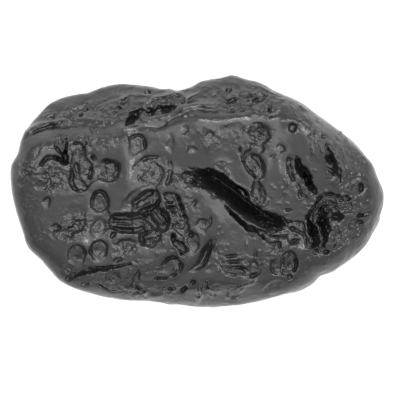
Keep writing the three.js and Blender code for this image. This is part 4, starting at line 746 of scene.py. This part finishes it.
def relief(x, y):
    """How far the bank, swells and folds lift the top at a place seen from above."""
    lift = bank(x, y)
    for cx, cy, half_long, half_wide, turn, height in SWELLS:
        c, s = math.cos(math.radians(turn)), math.sin(math.radians(turn))
        u = ((x - cx) * c + (y - cy) * s) / half_long
        v = ((y - cy) * c - (x - cx) * s) / half_wide
        lift += height * np.exp(-(u * u + v * v))
    for line, half, rise in FOLDS:
        lift += rise * np.exp(-((line_distance(x, y, line) / half) ** 2))
    return lift


def lumps(x, y, z):
    """Broad lumps of the sides, which fade out towards the belt and the flat."""
    share = smoothstep(z, 0.4, 2.6) * (1 - smoothstep(z, BELT - 5.0, BELT - 1.2))
    return share * (0.34 * np.sin(0.52 * x + 0.31 * z + 0.8) * np.sin(0.47 * y - 0.36 * z + 0.5)
                    + 0.20 * np.sin(0.95 * x - 0.62 * y + 0.9 * z)
                    + 0.12 * np.sin(1.4 * y + 1.1 * x - 1.2 * z))


def body(x, y, z, radius=None, lift=None):
    """Signed distance, near enough, to the stone before its hollows."""
    if radius is None:
        radius = outline_radius(np.arctan2(y, x))
        lift = relief(x, y)
    rise = BELT_RISE * smoothstep(-0.9 * x - 0.44 * y, 4, 19)
    up = z - BELT - rise
    height = np.where(up > 0, DOME - rise, KEEL + rise)
    u, v = np.hypot(x, y) / radius, np.abs(up) / height
    n = SQUARENESS
    size = np.maximum((u**n + v**n) ** (1 / n), 0.05)
    steep = np.hypot((u / size) ** (n - 1) / radius, (v / size) ** (n - 1) / height)
    distance = (size - 1) / np.maximum(steep, 0.02)
    for fx, fy, fz, falls, slope, edge in FACES:
        lean = math.sin(math.radians(slope))
        along_x, along_y = lean * math.cos(math.radians(falls)), lean * math.sin(math.radians(falls))
        plane = (x - fx) * along_x + (y - fy) * along_y + (z - fz) * math.cos(math.radians(slope))
        distance = rounded_max(distance, plane, edge)
    return distance - lift * smoothstep(z, BELT, BELT + 4) - lumps(x, y, z)


def meet(start, direction, near, far):
    """Where rays meet the body, by halving. start and direction are arrays of rows."""
    near, far = np.full(len(start), float(near)), np.full(len(start), float(far))

    def outside(t):
        return body(*(start + direction * t[:, None]).T) > 0

    outside_near = outside(near)
    for _ in range(HALVINGS):
        middle = (near + far) / 2
        same = outside(middle) == outside_near
        near, far = np.where(same, middle, near), np.where(same, far, middle)
    return start + direction * far[:, None]


def normals_at(p):
    """The body's outward normals at places p."""
    e = 0.05
    shifts = [np.eye(3)[i] * e for i in range(3)]
    g = np.stack([body(*(p + s).T) - body(*(p - s).T) for s in shifts], axis=1)
    return g / np.linalg.norm(g, axis=1, keepdims=True)


def on_top(xy):
    """The body's surface and normals straight below places seen from above."""
    xy = np.asarray(xy, float)
    start = np.column_stack([xy, np.full(len(xy), 40.0)])
    p = meet(start, np.tile([0.0, 0.0, -1.0], (len(xy), 1)), 0, 40 - BELT)
    return p, normals_at(p)


# ---------------------------------------------------------------- the field on a grid

STEP = 0.11
xs = np.arange(-19.6, 19.6, STEP).astype(np.float32)
ys = np.arange(-12.2, 12.3, STEP).astype(np.float32)
zs = np.arange(-0.4, 16.4, STEP).astype(np.float32)
ORIGIN = np.array([xs[0], ys[0], zs[0]], float)
plan_x, plan_y = np.meshgrid(xs, ys, indexing="ij")
plan_radius = outline_radius(np.arctan2(plan_y, plan_x)).astype(np.float32)
plan_lift = relief(plan_x, plan_y).astype(np.float32)

field = np.empty((len(xs), len(ys), len(zs)), np.float32)
SLAB = 12  # levels worked out at a time
for k in range(0, len(zs), SLAB):
    z = zs[None, None, k:k + SLAB]
    field[:, :, k:k + SLAB] = body(plan_x[..., None], plan_y[..., None], z, plan_radius[..., None],
                                   plan_lift[..., None])
plain = field.copy()

LATTICE = np.random.default_rng(11).random((64, 64, 64)).astype(np.float32) * 2 - 1


def noise(p, scale):
    """Smooth noise from -1 to 1 at places p in millimetres, with lumps about scale across."""
    q = p / scale + 1000.0
    cell = np.floor(q).astype(np.int64)
    t = (q - cell).astype(np.float32)
    t = t * t * t * (t * (t * 6 - 15) + 10)
    out = np.zeros(len(p), np.float32)
    for i in (0, 1):
        for j in (0, 1):
            for k in (0, 1):
                w = ((t[:, 0] if i else 1 - t[:, 0]) * (t[:, 1] if j else 1 - t[:, 1])
                     * (t[:, 2] if k else 1 - t[:, 2]))
                out += w * LATTICE[(cell[:, 0] + i) % 64, (cell[:, 1] + j) % 64, (cell[:, 2] + k) % 64]
    return out


def plan_noise(scale, level):
    """Noise on the plan grid."""
    places = np.column_stack([plan_x.ravel(), plan_y.ravel(), np.full(plan_x.size, level)]).astype(float)
    return noise(places, scale).reshape(plan_x.shape)


# No hollow is a true ellipse: places are moved a little before a hollow is measured.
shift_x = 0.12 * plan_noise(1.3, 3.0) + 0.09 * plan_noise(0.5, 9.0)
shift_y = 0.12 * plan_noise(1.3, 21.0) + 0.09 * plan_noise(0.5, 33.0)


def window(low, high):
    """The grid slices that cover a box, and the places in it as three arrays that broadcast."""
    cut = []
    for axis, a, b in zip((xs, ys, zs), low, high):
        cut.append(slice(int(np.searchsorted(axis, a)), int(np.searchsorted(axis, b))))
    x, y, z = xs[cut[0]], ys[cut[1]], zs[cut[2]]
    plan = tuple(cut[:2])
    moved_x = x[:, None, None] + shift_x[plan][:, :, None]
    moved_y = y[None, :, None] + shift_y[plan][:, :, None]
    return tuple(cut), moved_x, moved_y, z[None, None, :]


def carve(surface, normal, along, across, deep, open_share, edge, power):
    """Takes a stretched ball out of the stone, as the CAD does, and rounds the rim by edge. A power above 2
    gives steep walls and a flat floor, and one below 2 a narrow bottom."""
    mouth, down = (1 - open_share**power) ** (-1 / power), deep / (1 - open_share)
    m = np.column_stack([along * mouth, across * mouth, normal * down])
    centre = surface + normal * (open_share * down)
    reach = 1.15 * np.sqrt((m**2).sum(1)) + edge + 0.25
    cut, x, y, z = window(centre - reach, centre + reach)
    inv = np.linalg.inv(m)
    px, py, pz = x - centre[0], y - centre[1], z - centre[2]
    q = [inv[i, 0] * px + inv[i, 1] * py + inv[i, 2] * pz for i in range(3)]
    flat, tall = np.sqrt(q[0]**2 + q[1]**2) + 1e-4, np.abs(q[2]) + 1e-4
    size = (flat**power + tall**power) ** (1 / power)
    by_flat, by_tall = (flat / size) ** (power - 1) / flat, (tall / size) ** (power - 1) / tall
    g = [inv[0, j] * q[0] * by_flat + inv[1, j] * q[1] * by_flat + inv[2, j] * q[2] * by_tall
         for j in range(3)]
    away = (size - 1) / (np.sqrt(g[0]**2 + g[1]**2 + g[2]**2) + 1e-3)
    field[cut] = rounded_max(field[cut], -away, edge)


def carve_top(hollows, open_share, edge_share, lean):
    points, normals = on_top([h[:2] for h in hollows])
    for (_, _, long, wide, turn, deep, power), surface, normal in zip(hollows, points, normals):
        upright = max(normal[2], 0.35)

        def lie(angle, half):
            """A step along the surface that is half long and points at angle when seen from above."""
            a, b = math.cos(angle) * half, math.sin(angle) * half
            return np.array([a, b, -(a * normal[0] + b * normal[1]) / upright])

        angle = math.radians(turn)
        edge = min(WIDEST_RIM, edge_share * wide)
        axis = normal - lean * LEAN_WAY
        carve(surface, axis / np.linalg.norm(axis), lie(angle, long / 2), lie(angle + math.pi / 2, wide / 2),
              deep, open_share, edge, power)


def scatter(i, key):
    """A number from 0 to 1 that looks random and is the same in every run."""
    s = math.sin(i * 12.9898 + key * 78.233) * 43758.5453
    return s - math.floor(s)


def carve_sides(number, top_sine, longest, key, edge_share):
    """Scatters round hollows evenly over the sides and the underside."""
    golden = math.pi * (3 - math.sqrt(5))
    for i in range(number):
        sine = LOWEST_SINE + (top_sine - LOWEST_SINE) * (i + 0.5) / number
        cosine = math.sqrt(1 - sine**2)
        rx, ry, rz = SIDE_REACH
        way = np.array([rx * cosine * math.cos(i * golden), ry * cosine * math.sin(i * golden), rz * sine])
        way /= np.linalg.norm(way)
        surface = meet(HEART[None], way[None], 0.5, 30)[0]
        normal = normals_at(surface[None])[0]
        long = longest * (0.32 + 0.68 * scatter(i, key)**2)
        wide = long * (0.5 + 0.4 * scatter(i, key + 1))
        deep = wide * (0.25 + 0.25 * scatter(i, key + 2))
        spin = math.pi * scatter(i, key + 3)
        level = np.cross([0, 0, 1], normal)
        level /= np.linalg.norm(level)
        upward = np.cross(normal, level)

        def lie(angle, half):
            """A step along the surface that is half long."""
            return (level * math.cos(angle) + upward * math.sin(angle)) * half

        carve(surface, normal, lie(spin, long / 2), lie(spin + math.pi / 2, wide / 2), deep, SIDE_OPEN,
              edge_share * wide, 2.0)


def curve_through(line, parts=4):
    """A Catmull-Rom curve through rows of numbers."""
    p = np.array(line, float)
    p = np.vstack([2 * p[0] - p[1], p, 2 * p[-1] - p[-2]])
    out = []
    for i in range(1, len(p) - 2):
        for t in np.arange(parts) / parts:
            out.append(0.5 * (2 * p[i] + (p[i + 1] - p[i - 1]) * t
                              + (2 * p[i - 1] - 5 * p[i] + 4 * p[i + 1] - p[i + 2]) * t**2
                              + (3 * p[i] - 3 * p[i + 1] + p[i + 2] - p[i - 1]) * t**3))
    return np.array(out + [p[-2]])


def carve_groove(line, power, clear=0.9, edge_share=0.15):
    """Cuts a groove of changing width and depth along a line, clear of the surface by clear."""
    rows = curve_through(line)
    points, normals = on_top(rows[:, :2])
    half, deep = np.maximum(rows[:, 2], 0.06), np.maximum(rows[:, 3], 0.06)
    reach = half.max() + max(deep.max(), clear) + 0.4
    low, high = points.min(0) - reach, points.max(0) + reach
    cut, x, y, z = window(low, high)
    best = np.full(field[cut].shape, np.inf, np.float32)
    pairs = zip(points, points[1:], normals, normals[1:], half, half[1:], deep, deep[1:])
    for a, b, na, nb, wa, wb, da, db in pairs:
        step = b - a
        t = ((x - a[0]) * step[0] + (y - a[1]) * step[1] + (z - a[2]) * step[2]) / (step @ step)
        t = np.clip(t, 0, 1)
        r = [c - (a[i] + t * step[i]) for i, c in enumerate((x, y, z))]
        n = (na + nb) / np.linalg.norm(na + nb)
        h = r[0] * n[0] + r[1] * n[1] + r[2] * n[2]
        side2 = np.maximum(r[0]**2 + r[1]**2 + r[2]**2 - h * h, 0)
        w = wa + (wb - wa) * t
        tall = np.where(h < 0, da + (db - da) * t, clear)
        flat, down = np.sqrt(side2) / w + 1e-4, np.abs(h) / tall + 1e-4
        size = (flat**power + down**power) ** (1 / power)
        steep = np.hypot((flat / size) ** (power - 1) / w, (down / size) ** (power - 1) / tall)
        away = (size - 1) / steep
        best = np.minimum(best, away)
    edge = min(0.25, edge_share * 2 * float(half.mean()))
    field[cut] = rounded_max(field[cut], -best, edge)


for groove in GROOVES:
    carve_groove(groove, GROOVE_POWER)
for hollows, open_share, edge_share, lean in TOP_HOLLOWS:
    carve_top(hollows, open_share, edge_share, lean)
for number, top_sine, longest, key, edge_share in SIDE_HOLLOWS:
    carve_sides(number, top_sine, longest, key, edge_share)

# ---------------------------------------------------------------- fine unevenness

def plan_window(x, y, reach):
    """The slices of the plan grid within reach of a place, and the x and y of its rows and columns."""
    a, b = (slice(int(np.searchsorted(axis, v - reach)), int(np.searchsorted(axis, v + reach)))
            for axis, v in ((xs, x), (ys, y)))
    return (a, b), xs[a][:, None], ys[b][None, :]


def tilted(x, y, turn):
    """x and y measured along axes turned by turn degrees."""
    c, s = math.cos(math.radians(turn)), math.sin(math.radians(turn))
    return x * c + y * s, y * c - x * s


def fine_relief():
    """The fine ribs, grooves, lumps and rough patches of the top, as heights on the plan grid."""
    height = np.zeros((len(xs), len(ys)), np.float32)
    busy = np.zeros_like(height)
    wear = np.clip(0.9 + 0.7 * plan_noise(0.5, 45.0), 0.5, 1.3)
    for half, rise, line in MARKS:
        points = curve_through(line, 3) if len(line) > 2 else np.array(line, float)
        low, high = points.min(0) - 3 * half, points.max(0) + 3 * half
        cut = tuple(slice(int(np.searchsorted(axis, a)), int(np.searchsorted(axis, b)))
                    for axis, a, b in zip((xs, ys), low, high))
        x, y = plan_x[cut] + 0.7 * shift_x[cut], plan_y[cut] + 0.7 * shift_y[cut]
        nearest = np.full(x.shape, np.inf)
        share = np.ones(x.shape)
        length = np.hypot(*np.diff(points, axis=0).T)
        total, passed = length.sum(), 0.0
        for (ax, ay), (bx, by), part in zip(points, points[1:], length):
            t = np.clip(((x - ax) * (bx - ax) + (y - ay) * (by - ay)) / part**2, 0, 1)
            away = np.hypot(x - ax - t * (bx - ax), y - ay - t * (by - ay))
            along = passed + t * part
            passed += part
            closer = away < nearest
            nearest = np.where(closer, away, nearest)
            share = np.where(closer, np.minimum(along, total - along), share)
        taper = 0.25 + 0.75 * smoothstep(share, 0, min(2.5 * half, 0.4 * total))
        height[cut] += MARK_SHARE * rise * wear[cut] * taper * np.exp(-((nearest / half) ** 2))
    for number, (cx, cy, long, wide, turn, _, _) in enumerate(PITS + BOWLS + SLOTS):
        cut, x, y = plan_window(cx, cy, 1.3 * long)
        u, v = tilted(x - cx + shift_x[cut], y - cy + shift_y[cut], turn)
        away = np.sqrt((2 * u / long) ** 2 + (2 * v / wide) ** 2)
        height[cut] -= HALO * min(wide, 1.5) * np.exp(-((away / 1.35) ** 4))
        if wide > 0.7:
            rings = np.cos(2 * math.pi * (away * (1.1 + 0.5 * min(wide, 2.0)) + scatter(number, 7)))
            broken = np.clip(0.55 + 1.1 * plan_noise(0.7, 60.0)[cut], 0, 1)
            height[cut] += RING_HEIGHT * rings * broken * (1 - smoothstep(away, 0.75, 0.95))
    for cx, cy, half_long, half_wide, turn, rise in NUBS:
        cut, x, y = plan_window(cx, cy, 3 * max(half_long, half_wide))
        u, v = tilted(x - cx, y - cy, turn)
        height[cut] += rise * np.exp(-((u / half_long) ** 2 + (v / half_wide) ** 2))
    for number, (cx, cy, half_long, half_wide, turn, rise, along, across) in enumerate(ROUGH):
        cut, x, y = plan_window(cx, cy, 2.2 * max(half_long, half_wide))
        u, v = tilted(x - cx, y - cy, turn)
        share = np.exp(-((u / half_long) ** 2 + (v / half_wide) ** 2) ** 1.5)
        places = np.column_stack([(u / along).ravel(), (v / across).ravel(), np.full(u.size, 7.3 * number)])
        ridged = 0.7 * noise(places, 0.8) + 0.6 * noise(places + 5.1, 0.45)
        height[cut] += ROUGH_GAIN * rise * share * ridged.reshape(u.shape)
        busy[cut] = np.maximum(busy[cut], share)
        for grain in range(GRAINS):
            key = GRAINS * number + grain
            away = 0.9 * math.sqrt(scatter(key, 21))
            angle = 2 * math.pi * scatter(key, 22)
            gx, gy = tilted(away * half_long * math.cos(angle), away * half_wide * math.sin(angle), -turn)
            cut, x, y = plan_window(cx + gx, cy + gy, 0.6)
            size = 0.10 + 0.06 * scatter(key, 23)
            height[cut] += GRAIN_RISE * size * np.exp(-((x - cx - gx) ** 2 + (y - cy - gy) ** 2) / size**2)
    return height, busy


near = np.nonzero(np.abs(field) < 0.75)
places = np.column_stack([xs[near[0]], ys[near[1]], zs[near[2]]]).astype(float)
sunk = smoothstep(-plain[near], 0.1, 0.5)
top_share = smoothstep(places[:, 2], BELT, BELT + 1.2)
side_share = 1 - smoothstep(places[:, 2], BELT - 2.5, BELT + 1.5)
rough = 0
for size, shift, everywhere, in_hollows, on_sides in UNEVENNESS:
    rough = rough + (everywhere + in_hollows * sunk + on_sides * side_share) * noise(places + shift, size)
rough *= smoothstep(places[:, 2], 0.0, 0.6)
fine_height, busy = fine_relief()
rough += fine_height[near[0], near[1]] * top_share
field[near] -= rough.astype(np.float32)

# The flat it rests on.
field = rounded_max(field, -zs[None, None, :], FLAT_EDGE).astype(np.float32)


# ---------------------------------------------------------------- the surface

def surface_net(f):
    """One vertex in each grid cell that the surface crosses, and a quad for each crossed edge."""
    inside = f < 0
    corners = [(i, j, k) for i in (0, 1) for j in (0, 1) for k in (0, 1)]
    nx, ny, nz = (n - 1 for n in f.shape)
    count = np.zeros((nx, ny, nz), np.uint8)
    for i, j, k in corners:
        count += inside[i:nx + i, j:ny + j, k:nz + k]
    cells = np.nonzero((count > 0) & (count < 8))
    number = np.full((nx, ny, nz), -1, np.int32)
    number[cells] = np.arange(len(cells[0]))
    value = {c: f[cells[0] + c[0], cells[1] + c[1], cells[2] + c[2]] for c in corners}
    total = np.zeros((len(cells[0]), 3))
    crossings = np.zeros(len(cells[0]))
    for c in corners:
        for axis in range(3):
            if c[axis]:
                continue
            d = tuple(1 if a == axis else c[a] for a in range(3))
            va, vb = value[c], value[d]
            crossed = (va < 0) != (vb < 0)
            t = np.where(crossed, va / np.where(crossed, va - vb, 1), 0)
            place = np.array(c, float)[None] + t[:, None] * (np.arange(3) == axis)
            total += place * crossed[:, None]
            crossings += crossed
    vertices = ORIGIN + STEP * (np.column_stack(cells) + total / crossings[:, None])
    quads = []
    for axis in range(3):
        u, v = (axis + 1) % 3, (axis + 2) % 3
        first = [slice(1, -1)] * 3
        first[axis] = slice(0, -1)
        second = list(first)
        second[axis] = slice(1, None)
        a, b = inside[tuple(first)], inside[tuple(second)]
        where = np.nonzero(a != b)
        base = [w + (0 if i == axis else 1) for i, w in enumerate(where)]

        def cell(du, dv):
            at = list(base)
            at[u] = at[u] - du
            at[v] = at[v] - dv
            return number[tuple(at)]

        loop = np.column_stack([cell(1, 1), cell(0, 1), cell(0, 0), cell(1, 0)])
        turn = ~a[where]
        loop[turn] = loop[turn][:, ::-1]
        quads.append(loop)
    return vertices, np.vstack(quads)


def sample(f, p):
    """The field at places p, between grid points."""
    q = (p - ORIGIN) / STEP
    top = np.array(f.shape) - 2
    cell = np.clip(np.floor(q).astype(int), 0, top)
    t = np.clip(q - cell, 0, 1)
    out = 0
    for i in (0, 1):
        for j in (0, 1):
            for k in (0, 1):
                w = ((t[:, 0] if i else 1 - t[:, 0]) * (t[:, 1] if j else 1 - t[:, 1])
                     * (t[:, 2] if k else 1 - t[:, 2]))
                out = out + w * f[cell[:, 0] + i, cell[:, 1] + j, cell[:, 2] + k]
    return out


def slope_at(f, p, e=0.6 * STEP):
    """The field's gradient at places p."""
    return np.stack([(sample(f, p + e * s) - sample(f, p - e * s)) / (2 * e) for s in np.eye(3)], axis=1)


vertices, quads = surface_net(field)

mesh = bpy.data.meshes.new("tektite_net")
mesh.vertices.add(len(vertices))
mesh.vertices.foreach_set("co", vertices.astype(np.float32).ravel())
mesh.loops.add(quads.size)
mesh.loops.foreach_set("vertex_index", quads.astype(np.int32).ravel())
mesh.polygons.add(len(quads))
mesh.polygons.foreach_set("loop_start", np.arange(0, quads.size, 4, dtype=np.int32))
mesh.update(calc_edges=True)
mesh.validate()

stone = bpy.data.objects.new("tektite_stone", mesh)
bpy.context.scene.collection.objects.link(stone)
lower = stone.vertex_groups.new(name="lower")
low_share = 1 - smoothstep(vertices[:, 2], 7.5, 10.5)
for share in (0.0, 0.25, 0.5, 0.75, 1.0):
    chosen = np.nonzero(np.abs(low_share - share) <= 0.125)[0]
    lower.add(chosen.tolist(), 0.2 + 0.8 * share, "REPLACE")
thin = stone.modifiers.new("thin", "DECIMATE")
thin.ratio = min(1.0, MOST_TRIANGLES / (2 * len(quads)))
thin.vertex_group = "lower"
thin.vertex_group_factor = 2e-4
thinned = bpy.data.meshes.new_from_object(stone.evaluated_get(bpy.context.evaluated_depsgraph_get()))
stone.modifiers.clear()
stone.vertex_groups.clear()
stone.data = thinned
bpy.data.meshes.remove(mesh)
mesh = thinned
mesh.name = "tektite_stone"

places = np.empty(len(mesh.vertices) * 3, np.float32)
mesh.vertices.foreach_get("co", places)
places = places.reshape(-1, 3).astype(float)
for _ in range(2):
    g = slope_at(field, places)
    places -= g * (sample(field, places) / np.maximum((g**2).sum(1), 0.2))[:, None]
g = slope_at(field, places)
normals = g / np.linalg.norm(g, axis=1, keepdims=True)
middle = (places.min(0) + places.max(0)) / 2 * [1, 1, 0]
mesh.vertices.foreach_set("co", ((places - middle) / 1000).astype(np.float32).ravel())
mesh.polygons.foreach_set("use_smooth", np.ones(len(mesh.polygons), bool))
mesh.normals_split_custom_set_from_vertices(normals.tolist())
depth = -sample(plain, places)
hollow = mesh.attributes.new("hollow", "FLOAT", "POINT")
hollow.data.foreach_set("value", np.clip(depth, 0, 3).astype(np.float32))
at_x = np.clip(((places[:, 0] - ORIGIN[0]) / STEP).round().astype(int), 0, len(xs) - 1)
at_y = np.clip(((places[:, 1] - ORIGIN[1]) / STEP).round().astype(int), 0, len(ys) - 1)
grain = mesh.attributes.new("grain", "FLOAT", "POINT")
upper = smoothstep(places[:, 2], BELT, BELT + 1)
grain.data.foreach_set("value", (busy[at_x, at_y] * upper + 0.3 * (1 - upper)).astype(np.float32))
mesh.update()

# ---------------------------------------------------------------- material

glass = bpy.data.materials.new("tektite_glass")
glass.use_nodes = True
nodes, links = glass.node_tree.nodes, glass.node_tree.links
nodes.clear()


def add(kind, **settings):
    node = nodes.new(kind)
    for key, value in settings.items():
        setattr(node, key, value)
    return node


def value(a, operation, b=0.0):
    node = add("ShaderNodeMath", operation=operation)
    for socket, v in zip(node.inputs, (a, b)):
        if isinstance(v, (int, float)):
            socket.default_value = v
        else:
            links.new(v, socket)
    return node.outputs[0]


def attribute(name):
    return add("ShaderNodeAttribute", attribute_name=name).outputs["Fac"]


def cloud(scale, detail, rough=0.6):
    """Noise in the stone's own space, scale to the metre."""
    node = add("ShaderNodeTexNoise")
    links.new(place.outputs["Object"], node.inputs["Vector"])
    node.inputs["Scale"].default_value = scale
    node.inputs["Detail"].default_value = detail
    node.inputs["Roughness"].default_value = rough
    return node.outputs["Fac"]


def bump(height, strength, distance, below=None):
    node = add("ShaderNodeBump")
    node.inputs["Distance"].default_value = distance
    links.new(height, node.inputs["Height"])
    if isinstance(strength, (int, float)):
        node.inputs["Strength"].default_value = strength
    else:
        links.new(strength, node.inputs["Strength"])
    if below is not None:
        links.new(below, node.inputs["Normal"])
    return node.outputs["Normal"]


output = add("ShaderNodeOutputMaterial")
shader = add("ShaderNodeBsdfPrincipled")
place = add("ShaderNodeTexCoord")
sunken = value(value(attribute("hollow"), "MULTIPLY", 1.6), "MINIMUM", 1.0)
busy_share = value(value(attribute("grain"), "MULTIPLY", 0.8), "MAXIMUM", sunken)
skin = bump(cloud(1500, 2), 0.25, 3e-5)
speckle = bump(cloud(2600, 2), 1.0, 3e-5, skin)
pitting = bump(cloud(2400, 3, 0.65), value(value(busy_share, "MULTIPLY", 0.8), "ADD", 0.18), 1.2e-4, speckle)
links.new(pitting, shader.inputs["Normal"])
worn = value(cloud(900, 3), "MULTIPLY", 0.16)
links.new(value(value(worn, "ADD", value(sunken, "MULTIPLY", 0.10)), "ADD", 0.12), shader.inputs["Roughness"])
tint = add("ShaderNodeMix", data_type="RGBA")
links.new(cloud(500, 4), tint.inputs["Factor"])
tint.inputs["A"].default_value = (0.008, 0.008, 0.0085, 1)
tint.inputs["B"].default_value = (0.018, 0.018, 0.0185, 1)
links.new(tint.outputs["Result"], shader.inputs["Base Color"])
shader.inputs["IOR"].default_value = 1.5
links.new(shader.outputs[0], output.inputs[0])

stone.data.materials.clear()
stone.data.materials.append(glass)
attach(stone, "root")
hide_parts("tektite")

# ---------------------------------------------------------------- stage, light and camera

FLOOR_HALF = 3  # metres
floor_mesh = bpy.data.meshes.new("floor")
floor_corners = [(x * FLOOR_HALF, y * FLOOR_HALF, 0) for x, y in ((-1, -1), (1, -1), (1, 1), (-1, 1))]
floor_mesh.from_pydata(floor_corners, [], [(0, 1, 2, 3)])
floor = bpy.data.objects.new("floor", floor_mesh)
bpy.context.scene.collection.objects.link(floor)
paper = bpy.data.materials.new("floor_paper")
paper.use_nodes = True
paper_shader = paper.node_tree.nodes["Principled BSDF"]
paper_shader.inputs["Base Color"].default_value = (0.11, 0.11, 0.11, 1)
paper_shader.inputs["Roughness"].default_value = 0.9
paper_shader.inputs["Specular IOR Level"].default_value = 0.0
paper_shader.inputs["Emission Color"].default_value = (1, 1, 1, 1)
paper_shader.inputs["Emission Strength"].default_value = 0.95
floor_mesh.materials.append(paper)

# Soft lights of the studio: direction, angle where each ends, angle where it is full, strength.
LIGHTS = [
    (0, 0, 1, 95, 30, 1.2),
    (0.42, 0.45, 0.8, 52, 12, 2.7),
    (0.75, 0.1, 0.6, 7, 3, 25.0),
    (0.1, 0.8, 0.6, 7, 3, 25.0),
    (-0.55, 0.5, 0.65, 6, 3, 20.0),
]
ALL_ROUND = 0.6

scene = bpy.context.scene
world = bpy.data.worlds.new("studio")
scene.world = world
world.use_nodes = True
wn, wl = world.node_tree.nodes, world.node_tree.links
wn.clear()
sky_out = wn.new("ShaderNodeOutputWorld")
sky = wn.new("ShaderNodeBackground")
direction = wn.new("ShaderNodeTexCoord")


def world_value(a, operation, b):
    node = wn.new("ShaderNodeMath")
    node.operation = operation
    for socket, v in zip(node.inputs, (a, b)):
        if isinstance(v, (int, float)):
            socket.default_value = v
        else:
            wl.new(v, socket)
    return node.outputs[0]


def world_lobe(x, y, z, outer, inner, level):
    """A round soft light in a direction: full inside one angle from it and gone outside another."""
    axis = np.array([x, y, z], float) / math.sqrt(x * x + y * y + z * z)
    dot = wn.new("ShaderNodeVectorMath")
    dot.operation = "DOT_PRODUCT"
    wl.new(direction.outputs["Generated"], dot.inputs[0])
    dot.inputs[1].default_value = axis
    fade = wn.new("ShaderNodeMapRange")
    fade.interpolation_type = "SMOOTHSTEP"
    wl.new(dot.outputs["Value"], fade.inputs["Value"])
    fade.inputs["From Min"].default_value = math.cos(math.radians(outer))
    fade.inputs["From Max"].default_value = math.cos(math.radians(inner))
    fade.inputs["To Max"].default_value = level
    return fade.outputs[0]


light = world_lobe(*LIGHTS[0])
for lobe in LIGHTS[1:]:
    light = world_value(light, "ADD", world_lobe(*lobe))
light = world_value(light, "ADD", ALL_ROUND)
wl.new(light, sky.inputs["Strength"])
wl.new(sky.outputs[0], sky_out.inputs[0])

camera_data = bpy.data.cameras.new("camera")
camera = bpy.data.objects.new("camera", camera_data)
scene.collection.objects.link(camera)
scene.camera = camera
# The camera looks straight down from far away. In millimetres: half the width it sees, and where it looks.
HALF_VIEW = 20.487
TARGET = (0.256, -0.889, BELT)
camera_data.sensor_width = 36
camera_data.lens = 1000
distance = HALF_VIEW * camera_data.lens / (camera_data.sensor_width / 2)
camera.location = (TARGET[0] / 1000, TARGET[1] / 1000, (TARGET[2] + distance) / 1000)
camera.rotation_euler = (0, 0, 0)
camera_data.clip_start = 0.01
camera_data.clip_end = 100
scene.view_settings.view_transform = "Standard"
